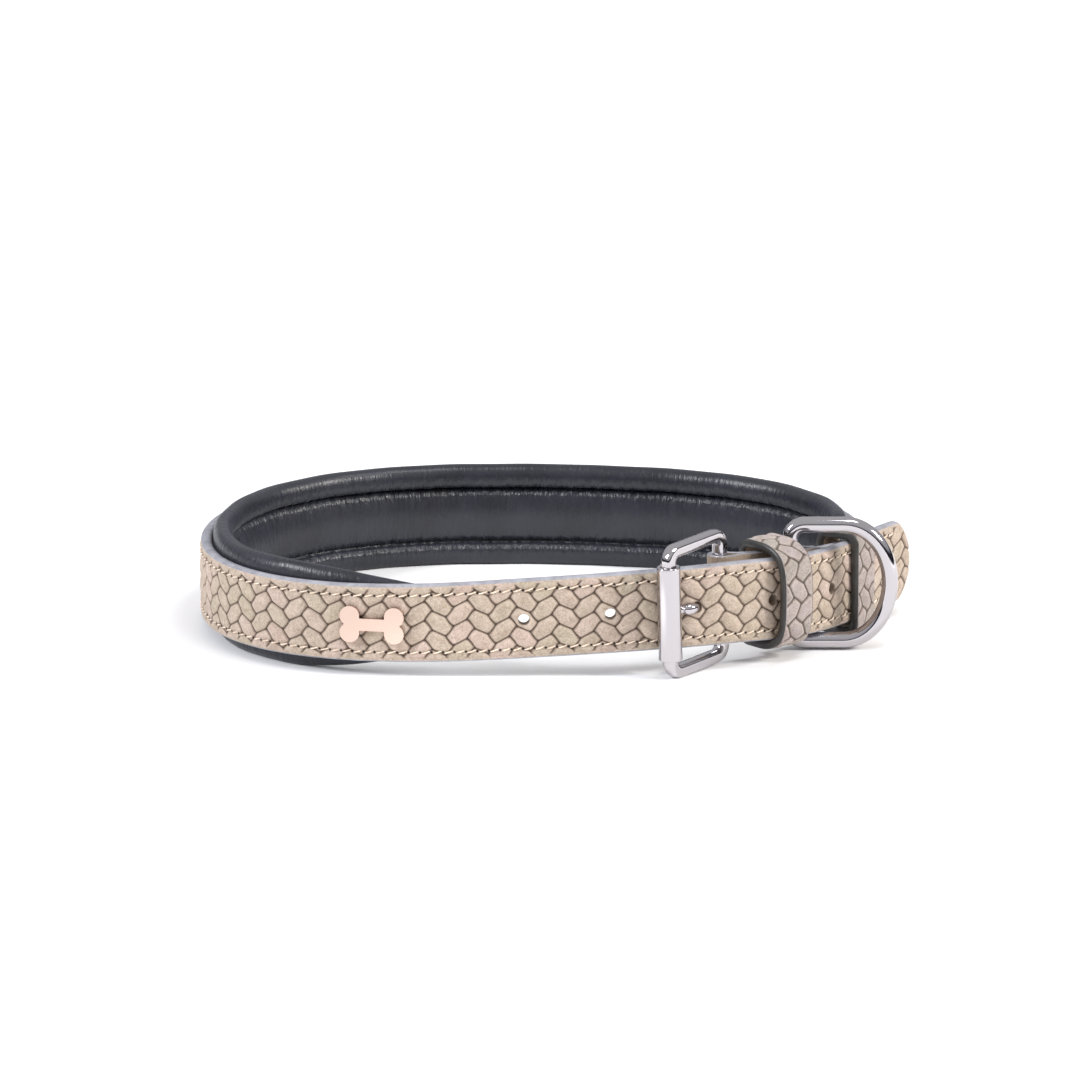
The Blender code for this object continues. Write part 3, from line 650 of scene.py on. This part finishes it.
THREAD, tree, shader = new_material("waxed_thread")
spot = node(tree, "TexCoord", out="Object")
twist = node(tree, "TexNoise", Vector=spot, Scale=1.5 / MM, Detail=2.0)
plug(tree, shader, {
    "Base Color": node(tree, "ValToRGB", twist, stops=((0.35, "#D9C3AD"), (0.65, "#FBEBD9"))),
    "Roughness": 0.55,
})
thread.data.materials.append(THREAD)
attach(thread, "collar")


# The padding: foam in soft nappa, sewn to the strap's back in two channels, so it stands as
# three rolls. The outer two are fuller and stand past the strap's edges. The channels pull
# short gathers into the leather.
BEAD_DEPTH = 6.1 * MM
ROLL_DEPTH = 5.8 * MM
BEAD_SHARE = 0.235
VALLEY_SHARE = 0.42
PAD_FRONT_TAPER = 45 * MM
PAD_REAR_TAPER = 14 * MM
PAD_TAPER_HEIGHT = 0.55
PAD_TAPER_DEPTH = 0.3
PAD_FRONT_PLACE = -72 * MM
PAD_END_ROUND = 3 * MM
PAD_END_DROP = 0.2
PAD_STATION = 0.9 * MM
PAD_FLAT = 0.4 * MM
BEAD_TURN = (180, -62)
BEAD_LINES = 22
ROLL_LINES = 12
TAPER_BLEND = 0.35


def pad_outline(height, depth_share):
    """Depth from the strap and height: a bead, a groove and half the middle roll, and mirrored."""
    bead_half = height * BEAD_SHARE / 2
    bead_middle = height / 2 - bead_half
    groove_up = bead_middle - bead_half
    bead = BEAD_DEPTH * depth_share
    roll = ROLL_DEPTH * depth_share
    valley = roll * VALLEY_SHARE
    turn = np.radians(np.linspace(*BEAD_TURN, BEAD_LINES))
    share = np.cos(np.linspace(0, math.pi / 2, ROLL_LINES))
    crown = np.sqrt(np.maximum(0.0, 1 - share**2))
    depth = np.concatenate([bead / 2 * (1 + np.cos(turn)), valley + (roll - valley) * crown])
    rise = np.concatenate([bead_middle + bead_half * np.sin(turn), groove_up * share])
    depth = np.concatenate([depth, depth[-2::-1]])
    rise = np.concatenate([rise, -rise[-2::-1]])
    return depth, rise


def eased(share):
    """A taper from 0 to 1 that meets the full size without a corner."""
    near = np.clip(TAPER_BLEND - np.abs(share - 1), 0.0, None)
    return np.minimum(share, 1.0) - near**2 / (4 * TAPER_BLEND)


pad_start = lift_off - (first_place - LAYER_GAP) + PAD_REAR_TAPER / 3
pad_end = prong_hole + PAD_FRONT_PLACE
pad_places = np.arange(pad_start, pad_end, PAD_STATION)
from_start, to_end = pad_places - pad_start, pad_end - pad_places
full = np.minimum(eased(from_start / PAD_REAR_TAPER), eased(to_end / PAD_FRONT_TAPER))
round_off = np.sqrt(np.clip(np.minimum(from_start, to_end) / PAD_END_ROUND, 0.02, 1.0))
heights = PAD_HEIGHT * (PAD_TAPER_HEIGHT + (1 - PAD_TAPER_HEIGHT) * full) + 2 * PAD_FLAT
heights = heights * (1 - PAD_END_DROP + PAD_END_DROP * round_off)
shares = (PAD_TAPER_DEPTH + (1 - PAD_TAPER_DEPTH) * full) * round_off
outlines = [pad_outline(height, share) for height, share in zip(heights, shares)]
depths, rises = np.array(outlines).transpose(1, 0, 2)

# The gathers are waves of these lengths and sizes in millimetres, strongest at the channels. The
# slow ones, with their phase, are the foam's unevenness, and each stitch pinches the leather.
GATHERS = ((2.3, 0.13), (3.1, 0.16), (4.7, 0.13), (7.9, 0.08))
SLOW_WAVES = ((23, 0.16, 0.0), (37, 0.12, 1.0))
GATHER_REACH = 2.9 * MM
PINCH_REACH = 0.8 * MM
PINCH_DEPTH = 0.35 * MM
CHANNEL_STITCH = 3.4 * MM
FREE_DEPTH = 2 * MM

pad_along = pad_places[:, None]
off_channel = np.abs(rises) - heights[:, None] / 2 * (1 - 2 * BEAD_SHARE)
near_channel = np.exp(-((off_channel / GATHER_REACH) ** 2))
chance = np.random.default_rng(7)
gathers = np.zeros_like(depths)
for length, size in GATHERS:
    swing = chance.uniform(0, 2 * math.pi)
    slant = chance.uniform(-0.8, 0.8)
    wave = 2 * math.pi * (pad_along + slant * np.abs(rises)) / (length * MM) + swing
    gathers += size * MM * np.sin(wave)
slow = sum(
    size * MM * np.sin(2 * math.pi * pad_along / (length * MM) + phase)
    for length, size, phase in SLOW_WAVES
)
at_stitch = 0.5 + 0.5 * np.cos(2 * math.pi * pad_along / CHANNEL_STITCH)
pinch = np.exp(-((off_channel / PINCH_REACH) ** 2)) * at_stitch * PINCH_DEPTH
free_side = np.clip(depths / FREE_DEPTH, 0.0, 1.0)
depths = np.maximum(depths + free_side * (gathers * near_channel + slow - pinch), 0.0)
pad_points = strap_route.points(pad_along, -(STRAP_THICKNESS / 2 + LAYER_GAP + depths), rises)
pad_points[..., 2] = np.maximum(pad_points[..., 2], 0.0)
padding = lofted(
    "stuffed_lining",
    pad_points,
    along=pad_along + 0 * rises,
    rise=rises,
    gathered=np.clip(1.25 * near_channel + 0.3, 0.0, 1.0),
)
face_outward(padding)

# Nappa: full-grain lambskin dyed through, smooth and soft, with a satin gloss and a faint bloom.
# The channels draw it into upright creases about 1.6 mm apart, too fine for the mesh, between
# pores 0.7 mm apart. The creases are long up the pad, so its height counts for less in them.
CREASE_STRETCH = 0.22

NAPPA, tree, shader = new_material("dyed_nappa")
spot = node(tree, "TexCoord", out="Object")
along, rise, gathered = (
    node(tree, "Attribute", attribute_name=field, out="Fac")
    for field in ("along", "rise", "gathered")
)
upright = node(tree, "Math", rise, CREASE_STRETCH, operation="MULTIPLY")
drawn = node(tree, "CombineXYZ", along, upright)
crease = node(tree, "TexNoise", Vector=drawn, Scale=0.62 / MM, Detail=3.0, Roughness=0.6)
crease_height = node(tree, "Math", crease, gathered, operation="MULTIPLY")
pores = node(tree, "TexVoronoi", feature="DISTANCE_TO_EDGE", Vector=spot, Scale=1.4 / MM)
drift = node(tree, "TexNoise", Vector=spot, Scale=0.06 / MM, Detail=4.0)
grain = node(tree, "Bump", Height=pores, Strength=0.3, Distance=0.1 * MM)
plug(tree, shader, {
    "Base Color": node(tree, "ValToRGB", drift, stops=((0.3, "#1B1C23"), (0.7, "#2A2C35"))),
    "Roughness": node(tree, "MapRange", crease, To_Min=0.26, To_Max=0.44),
    "Specular IOR Level": 0.5,
    "Sheen Weight": 0.12,
    "Sheen Roughness": 0.35,
    "Sheen Tint": srgb("#DADCE6"),
    "Normal": node(
        tree, "Bump", Height=crease_height, Strength=1.0, Distance=0.9 * MM, Normal=grain
    ),
})
padding.data.materials.append(NAPPA)
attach(padding, "collar")
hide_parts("padding")


# The folded end: a strip of the same nubuck, 1.6 mm thick, folded round the buckle's heel bar
# and the D-ring's bar and sewn to the strap. Its cut edges are painted as the strap's are.
UPRIGHT_NORMAL = 0.7
fold_data = frame["nodes"]["folded_end"].data.copy()
fold_data.materials.clear()
fold_data.materials.append(STRAP_BACK)
fold_data.materials.append(STRAP_PAINT)
for face in fold_data.polygons:
    face.material_index = EDGE_SLOT if abs(face.normal.z) > UPRIGHT_NORMAL else 0
fold = put_in_scene("folded_leather", fold_data)
fold.data.shade_smooth()
fold.data.set_sharp_from_angle(angle=math.radians(60))
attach(fold, "collar")
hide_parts("folded_end")


# The keepers: strips of the stamped nubuck in a greyer dye, 12.2 mm wide and 2.6 mm thick, sewn
# into closed loops that hold the free end down, their edges painted dark. The front one bows out
# over the strap. The rear one lies flat, clear of the D-ring.
KEEPER_LEATHER = 2.6 * MM
KEEPER_CORNER = 1.6 * MM
KEEPER_BOW = 2.6 * MM
KEEPER_ROUND = 3.0
KEEPER_STATION = 0.45 * MM
KEEPER_EDGE = 0.7 * MM
KEEPER_FADE = 0.9 * MM
KEEPER_CORNER_STEPS = 60
KEEPER_STRAIGHT = 0.3 * MM
KEEPER_FACE_LINES = 22
KEEPER_EDGE_LINES = 7
KEEPER_BACK_LINES = (0.5, 0, -0.5)
# Each loop's depth and height, and how far it sits above the strap's middle line.
FRONT_KEEPER = (18.7 * MM, 33.5 * MM, 0.6 * MM)
REAR_KEEPER = (14.7 * MM, 33 * MM, -0.3 * MM)
FRONT_KEEPER_REACH = 38 * MM


def rounded_loop(left, right, bottom, top, radius, arc, straight):
    """A rounded rectangle as evenly filled points, anticlockwise from the right side's top."""
    corners = (
        (right - radius, top - radius, 0),
        (left + radius, top - radius, 90),
        (left + radius, bottom + radius, 180),
        (right - radius, bottom + radius, 270),
    )
    found = []
    for x, y, start in corners:
        for angle in np.radians(np.linspace(start, start + 90, arc)):
            found.append((x + radius * math.cos(angle), y + radius * math.sin(angle)))
    found = np.array(found)
    filled = []
    for here, after in zip(found, np.roll(found, -1, axis=0)):
        pieces = max(1, math.ceil(np.hypot(*(after - here)) / straight))
        filled.extend(here + (after - here) * step / pieces for step in range(pieces))
    return np.array(filled)


def evenly(loop, step):
    """The same closed outline with its points a step apart, from the middle of its inner side."""
    closed = np.vstack([loop, loop[:1]])
    walked = distances(closed)
    places = np.linspace(0.0, walked[-1], math.ceil(walked[-1] / step), endpoint=False)
    spaced = np.column_stack([np.interp(places, walked, column) for column in closed.T])
    inner = np.argmin(spaced[:, 0] + np.abs(spaced[:, 1]) * 0.01)
    return np.roll(spaced, -inner, axis=0)


def outline_normals(loop):
    """The outward directions of a closed outline."""
    step = np.roll(loop, -1, axis=0) - np.roll(loop, 1, axis=0)
    return np.column_stack([step[:, 1], -step[:, 0]]) / np.hypot(*step.T)[:, None]


def keeper(name, replaced, place, shape, bow):
    depth, height, rise = shape
    face = STRAP_THICKNESS / 2 + LAYER_GAP + KEEPER_LEATHER
    loop = rounded_loop(
        face - depth,
        face,
        -height / 2,
        height / 2,
        KEEPER_CORNER + KEEPER_LEATHER,
        KEEPER_CORNER_STEPS,
        KEEPER_STRAIGHT,
    )
    if bow:
        middle = face - depth / 2
        level = np.clip(np.abs(loop[:, 1]) / (height / 2), 0.0, 1.0)
        bulge = (depth / 2 + bow) * (1 - level**KEEPER_ROUND) ** (1 / KEEPER_ROUND)
        share = np.clip((loop[:, 0] - middle) / (depth / 2), 0.0, 1.0)
        loop[:, 0] = np.where(loop[:, 0] > middle, middle + bulge * share, loop[:, 0])
    loop = evenly(loop, KEEPER_STATION)
    walked = distances(loop)[:, None]
    half = KEEPER_LENGTH / 2 - KEEPER_EDGE
    turn = np.linspace(0, math.pi, KEEPER_EDGE_LINES)
    flat = np.linspace(-1, 1, KEEPER_FACE_LINES + 1)[1:-1]
    edge, back = np.ones(len(turn)), np.zeros(len(KEEPER_BACK_LINES))
    across = np.concatenate([flat, edge, KEEPER_BACK_LINES, -edge]) * half
    across += np.concatenate([0 * flat, np.sin(turn), back, -np.sin(turn)]) * KEEPER_EDGE
    into = np.concatenate([0 * flat, (1 - np.cos(turn)) / 2, back + 1, (1 + np.cos(turn)) / 2])
    outer = into < 0.001
    relief, fields = weave(walked + 0 * across, across + 0 * walked)
    soft = np.clip((half - np.abs(across)) / KEEPER_FADE, 0.0, 1.0)
    off = (relief - LEVEL_RELIEF) * CELL_RELIEF * outer * soft - into * KEEPER_LEATHER
    flat_points = loop[:, None, :] + outline_normals(loop)[:, None, :] * off[..., None]
    centre = free_end.points(place, 0.0, rise)
    points = np.empty((*off.shape, 3))
    points[..., :2] = (
        centre[:2]
        + free_end.outward(place) * flat_points[..., :1]
        + free_end.tangent(place) * np.broadcast_to(across, off.shape)[..., None]
    )
    points[..., 2] = centre[2] + flat_points[..., 1]
    edge_faces = KEEPER_EDGE_LINES - 1
    made = lofted(
        name,
        points,
        ends="joined",
        slots=np.repeat(
            (0, EDGE_SLOT, BACK_SLOT, EDGE_SLOT, 0),
            (len(flat), edge_faces, len(back) + 1, edge_faces, 1),
        ),
        stamped=outer * soft,
        along=0 * off,
        beside=NO_SEAM,
        **fields,
    )
    for material in (KEEPER_NUBUCK, KEEPER_PAINT, STRAP_BACK):
        made.data.materials.append(material)
    face_outward(made)
    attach(made, "collar")
    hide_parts(replaced)


KEEPER_NUBUCK = nubuck(
    "grey_stamped_nubuck", ("#B6ACA8", "#ACA59E", "#BAAEAC", "#AFA6A4"), "#3F3934", "#8E867E"
)
KEEPER_PAINT = edge_paint("dark_edge_paint", "#3C3A38", "#2B2A28")
front_keeper_place = prong_place + FRONT_KEEPER_REACH - KEEPER_LENGTH / 2
keeper("front_keeper", "keeper_front", front_keeper_place, FRONT_KEEPER, KEEPER_BOW)
keeper("rear_keeper", "keeper_rear", rear_keeper_place, REAR_KEEPER, 0.0)


# Polished nickel plate over cast zinc and steel: bright, close to a mirror, a little warm, with
# fine polishing haze that lets its roughness drift.
def polished_plate(name, colour, haze_scale, clear, hazy):
    made, tree, shader = new_material(name)
    spot = node(tree, "TexCoord", out="Object")
    haze = node(tree, "TexNoise", Vector=spot, Scale=haze_scale, Detail=3.0)
    plug(tree, shader, {
        "Base Color": srgb(colour),
        "Metallic": 1.0,
        "Roughness": node(tree, "MapRange", haze, To_Min=clear, To_Max=hazy),
    })
    return made


NICKEL = polished_plate("polished_nickel", "#BEBABD", 0.7 / MM, 0.05, 0.11)


def nickel_loop(name, points, axes):
    """A closed piece in nickel from rings of points, placed by a matrix."""
    grid = np.array(axes)
    made = lofted(name, points @ grid[:3, :3].T + grid[:3, 3], ends="joined")
    made.data.materials.append(NICKEL)
    return face_outward(made)


def swept_loop(name, spine, radius, squareness, sides, axes):
    """A closed bar: a section, round at 2 and squarer above, carried round a flat loop."""
    turn = np.linspace(0, 2 * math.pi, sides, endpoint=False)
    wide, deep = (
        np.sign(wave) * np.abs(wave) ** (2 / squareness) * radius
        for wave in (np.cos(turn), np.sin(turn))
    )
    flat = spine[:, None, :] + outline_normals(spine)[:, None, :] * wide[None, :, None]
    points = np.stack([flat[..., 0], deep + 0 * flat[..., 0], flat[..., 1]], axis=-1)
    return nickel_loop(name, points, axes)


# The buckle: a cast frame, lying against the free end and leaning a little with it. Its front
# bar carries the roller and its heel bar the prong. Its bars are flattened on four sides, as
# far as the roller's bore lets the front one be.
BAR_DIAMETER = 4 * MM
FRAME_HEIGHT = 42 * MM
FRAME_PITCH = 25.5 * MM
FRAME_CORNER = 3.4 * MM
BAR_SQUARENESS = 3.5
roller_joint = next(j for j in frame["joints"] if j["name"] == "roller_turn")
front_bar = Vector(roller_joint["pos_m"])
bar_axis = Vector(roller_joint["axis"]).normalized()
lean_flat = Vector((-bar_axis.x, -bar_axis.y, 0.0)).normalized()
buckle_along = (lean_flat - bar_axis * lean_flat.dot(bar_axis)).normalized()
buckle_across = bar_axis.cross(buckle_along)
buckle_middle = front_bar + buckle_along * FRAME_PITCH / 2
buckle_axes = Matrix.Translation(buckle_middle) @ Matrix((
    buckle_along, buckle_across, bar_axis,
)).transposed().to_4x4()
reach = FRAME_HEIGHT / 2 - BAR_DIAMETER / 2
half_pitch = FRAME_PITCH / 2
frame_spine = rounded_loop(-half_pitch, half_pitch, -reach, reach, FRAME_CORNER, 10, 3 * MM)
buckle = swept_loop(
    "buckle_bars", frame_spine, BAR_DIAMETER / 2, BAR_SQUARENESS, 48, buckle_axes
)
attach(buckle, "collar")
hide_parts("buckle_frame")


def turned(name, profile, sides, axes):
    """A round piece from a closed profile of radius and height, turned about Z."""
    radius, height = np.array(profile).T
    turn = np.linspace(0, 2 * math.pi, sides, endpoint=False)[:, None]
    points = np.stack(
        [np.cos(turn) * radius, np.sin(turn) * radius, height + 0 * turn], axis=-1
    )
    return nickel_loop(name, points, axes)


def arc(middle_radius, middle_height, radius, start, end, steps):
    """Points of a profile's rounded corner."""
    return [
        (middle_radius + radius * math.cos(a), middle_height + radius * math.sin(a))
        for a in np.radians(np.linspace(start, end, steps))
    ]


# The roller: a steel sleeve that turns on the front bar, so the strap slides through. Its ends
# are rolled in.
ROLLER_DIAMETER = 7.3 * MM
ROLLER_BORE = 4.7 * MM
ROLLER_LENGTH = 29.4 * MM
ROLLER_LIP = 0.45 * MM
ROLLER_BORE_LIP = 0.25 * MM
outer, inner, half = ROLLER_DIAMETER / 2, ROLLER_BORE / 2, ROLLER_LENGTH / 2
lip, bore_lip = ROLLER_LIP, ROLLER_BORE_LIP
roller_profile = (
    arc(outer - lip, half - lip, lip, 0, 90, 8)
    + arc(inner + bore_lip, half - bore_lip, bore_lip, 90, 180, 4)
    + arc(inner + bore_lip, bore_lip - half, bore_lip, 180, 270, 4)
    + arc(outer - lip, lip - half, lip, 270, 360, 8)
)
roller_axes = Matrix.Translation(front_bar) @ buckle_axes.to_3x3().to_4x4()
roller = turned("roller_sleeve", roller_profile, 64, roller_axes)
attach(roller, "roller")
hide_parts("buckle_roller")

# The prong: a cast tongue with an eye round the heel bar. It comes up through the punched hole
# and swells into a bullet shape that rests on the leather against the roller.
PRONG_DIAMETER = 3.2 * MM
PRONG_EYE_WIRE = 2.6 * MM
PRONG_CLEARANCE = 0.35 * MM
PRONG_NECK = 0.85
PRONG_NECK_PLACES = (1.0, 1.35)
eye_radius = BAR_DIAMETER / 2 + PRONG_CLEARANCE + PRONG_EYE_WIRE / 2
heel_bar = buckle_axes @ Matrix.Translation((half_pitch, 0.0, 0.0))
# Columns: place from the hole towards the tip, out from the strap's middle, radius.
PRONG_ROWS = (
    (1.6, -2.4, 1.15),
    (1.0, -1.0, 1.15),
    (0.3, 0.6, 1.25),
    (-0.8, 2.1, 1.75),
    (-2.2, 2.9, 1.95),
    (-3.4, 3.0, 1.85),
    (-4.3, 2.95, 1.45),
    (-4.7, 2.9, 1.2),
    (-5.0, 2.9, 1.35),
    (-5.7, 2.9, 1.35),
)
prong_rows = [
    (*(heel_bar @ Vector((-eye_radius * share, 0.0, 0.0))), PRONG_DIAMETER / 2 * PRONG_NECK)
    for share in PRONG_NECK_PLACES
]
for place, out, radius in PRONG_ROWS:
    spot = strap_route.points(prong_hole + place * MM, out * MM, 0.0)
    prong_rows.append((*spot, radius * MM))
prong_line = smooth_curve(np.array(prong_rows), 6)
middle, radius = prong_line[:, None, :3], prong_line[:, 3][:, None, None]
direction = np.gradient(prong_line[:, :3], axis=0)
direction /= np.linalg.norm(direction, axis=1, keepdims=True)
sideways = np.cross(direction, (0.0, 0.0, 1.0))
sideways /= np.linalg.norm(sideways, axis=1, keepdims=True)
upward = np.cross(sideways, direction)
turn = np.linspace(0, 2 * math.pi, 32, endpoint=False)[:, None]
around = sideways[:, None] * np.cos(turn) + upward[:, None] * np.sin(turn)
prong = face_outward(lofted("prong_tongue", middle + around * radius))
prong.data.materials.append(NICKEL)
eye_profile = arc(eye_radius, 0.0, PRONG_EYE_WIRE / 2, 0, 350, 28)
eye = turned("prong_ring", eye_profile, 48, heel_bar)
for piece in (prong, eye):
    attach(piece, "collar")
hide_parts("buckle_prong")


# The D-ring: 5 mm wire, bent and welded, then polished and plated. Its straight side turns in
# the folded end, and the lead clips to its bow.
RING_WIRE = 5 * MM
RING_HEIGHT = 41.5 * MM
RING_REACH = 33.2 * MM
RING_ARM_SHARE = 0.54
RING_CORNER = 4.5 * MM
RING_SQUARENESS = 2.1
ring_joint = next(j for j in frame["joints"] if j["name"] == "ring_swing")
ring_half = (RING_HEIGHT - RING_WIRE) / 2
ring_reach = RING_REACH - RING_WIRE / 2
ring_arm = ring_reach * RING_ARM_SHARE
ring_spine = [
    (ring_arm + (ring_reach - ring_arm) * math.cos(a), ring_half * math.sin(a))
    for a in np.radians(np.linspace(-90, 90, 40))
]
for side, start in ((1, 90), (-1, 180)):
    height = side * (ring_half - RING_CORNER)
    ring_spine += arc(RING_CORNER, height, RING_CORNER, start, start + 90, 12)
ring_axes = Matrix.Translation(ring_joint["pos_m"])
ring = swept_loop(
    "lead_ring", np.array(ring_spine), RING_WIRE / 2, RING_SQUARENESS, 40, ring_axes
)
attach(ring, "ring")
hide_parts("d_ring")


# The ornament: a small plain bone, die-cast in zinc and riveted to the strap's outer face. It is
# plated in pale rose gold and polished softer than the buckle.
ROSE = polished_plate("rose_gold_plate", "#D2B9AB", 0.9 / MM, 0.14, 0.24)
bone = frame["nodes"]["ornament"]
bone.data.materials.clear()
bone.data.materials.append(ROSE)


# The picture: a pale table, soft boxes round it and a long lens at the photograph's angle. The
# lens gives 3.22 pixels of the photograph to a millimetre at the loop's middle.
CAMERA_ELEVATION = math.radians(14)
CAMERA_DISTANCE = 3.0
PIXELS_PER_METRE = 3220
PICTURE_SIDE = 1080
AIM_PIXEL = (538, 566)
aim = Vector((shift[0], shift[1], 16.5 * MM))
sight = Vector((0.0, math.cos(CAMERA_ELEVATION), -math.sin(CAMERA_ELEVATION)))
picture_up = Vector((0.0, math.sin(CAMERA_ELEVATION), math.cos(CAMERA_ELEVATION)))
lens = bpy.data.cameras.new("camera")
lens.sensor_width = 36.0
lens.lens = PIXELS_PER_METRE * CAMERA_DISTANCE / PICTURE_SIDE * lens.sensor_width
lens.clip_end = 20.0
camera = put_in_scene("camera", lens)
right_by = (PICTURE_SIDE / 2 - AIM_PIXEL[0]) / PIXELS_PER_METRE
up_by = (AIM_PIXEL[1] - PICTURE_SIDE / 2) / PIXELS_PER_METRE
camera.location = aim - sight * CAMERA_DISTANCE + picture_up * up_by
camera.location.x += right_by
camera.rotation_mode = "QUATERNION"
camera.rotation_quaternion = sight.to_track_quat("-Z", "Y")
bpy.context.scene.camera = camera
bpy.context.scene.view_settings.view_transform = "Standard"

# The table is white and lit evenly. It gives off a little light of its own in front of the
# collar, where the shadow would be darkest, and far away, so that it comes out plain white.
FLOOR_SIDE = 12.0
GLOW_MIDDLE = (-38 * MM, -112 * MM, 0.0)
GLOW_REACH = 62 * MM
GLOW_STRENGTH = 0.7
FAR_GLOW = 0.6
FAR_REACH = (0.3, 1.5)
TABLE, tree, shader = new_material("pale_table")
spot = node(tree, "TexCoord", out="Object")
away = node(tree, "VectorMath", spot, GLOW_MIDDLE, operation="DISTANCE", out="Value")
glow = node(
    tree,
    "MapRange",
    away,
    interpolation_type="SMOOTHSTEP",
    From_Max=GLOW_REACH,
    To_Min=GLOW_STRENGTH,
    To_Max=0.0,
)
far_glow = node(
    tree, "MapRange", away, From_Min=FAR_REACH[0], From_Max=FAR_REACH[1], To_Max=FAR_GLOW
)
plug(tree, shader, {
    "Base Color": srgb("#FCFCFC"),
    "Roughness": 0.9,
    "Emission Color": srgb("#FFFFFF"),
    "Emission Strength": node(tree, "Math", glow, far_glow, operation="ADD"),
})
floor_data = bpy.data.meshes.new("floor")
corner = FLOOR_SIDE / 2
floor_data.from_pydata(
    [(-corner, -corner, 0), (corner, -corner, 0), (corner, corner, 0), (-corner, corner, 0)],
    [],
    [(0, 1, 2, 3)],
)
floor_data.materials.append(TABLE)
floor = put_in_scene("floor", floor_data)


def soft_box(name, place, target, size, power, colour):
    """A rectangular studio light that looks at a point."""
    data = bpy.data.lights.new(name, "AREA")
    data.shape = "RECTANGLE"
    data.size, data.size_y = size
    data.energy = power
    data.color = srgb(colour)[:3]
    made = put_in_scene(name, data)
    made.location = place
    made.rotation_mode = "QUATERNION"
    made.rotation_quaternion = (Vector(target) - made.location).to_track_quat("-Z", "Y")


# A warm key from the right draws the relief, a cooler one fills from the left, and a faint one
# above lights the pad's rolls. Place, target and size are in metres, power in watts.
soft_box("key_light", (1.9, -0.6, 1.2), (0, 0, 0.02), (0.55, 0.55), 38.0, "#FFFBF6")
soft_box("left_light", (-1.6, -0.6, 1.1), (0, 0, 0.02), (0.3, 0.6), 27.0, "#F8FAFF")
soft_box("top_light", (0.45, -0.45, 1.5), (0, 0, 0.0), (0.6, 0.3), 6.5, "#F7F9FF")

# A light tent: a bright dome, and a dark seam where it meets the table, which draws the dark
# lines on polished metal.
world = bpy.data.worlds.new("studio")
bpy.context.scene.world = world
world.use_nodes = True
tree = world.node_tree
ray = node(tree, "TexCoord", out="Generated")
height = node(tree, "SeparateXYZ", ray, out="Z")
tent = node(
    tree,
    "ValToRGB",
    height,
    stops=(
        (0.0, "#A8A8B0"),
        (0.03, "#34343C"),
        (0.15, "#3C3C46"),
        (0.24, "#E4E4EA"),
        (0.55, "#FAFBFF"),
        (1.0, "#FFFFFF"),
    ),
)
plug(tree, tree.nodes["Background"], {"Color": tent, "Strength": 0.66})
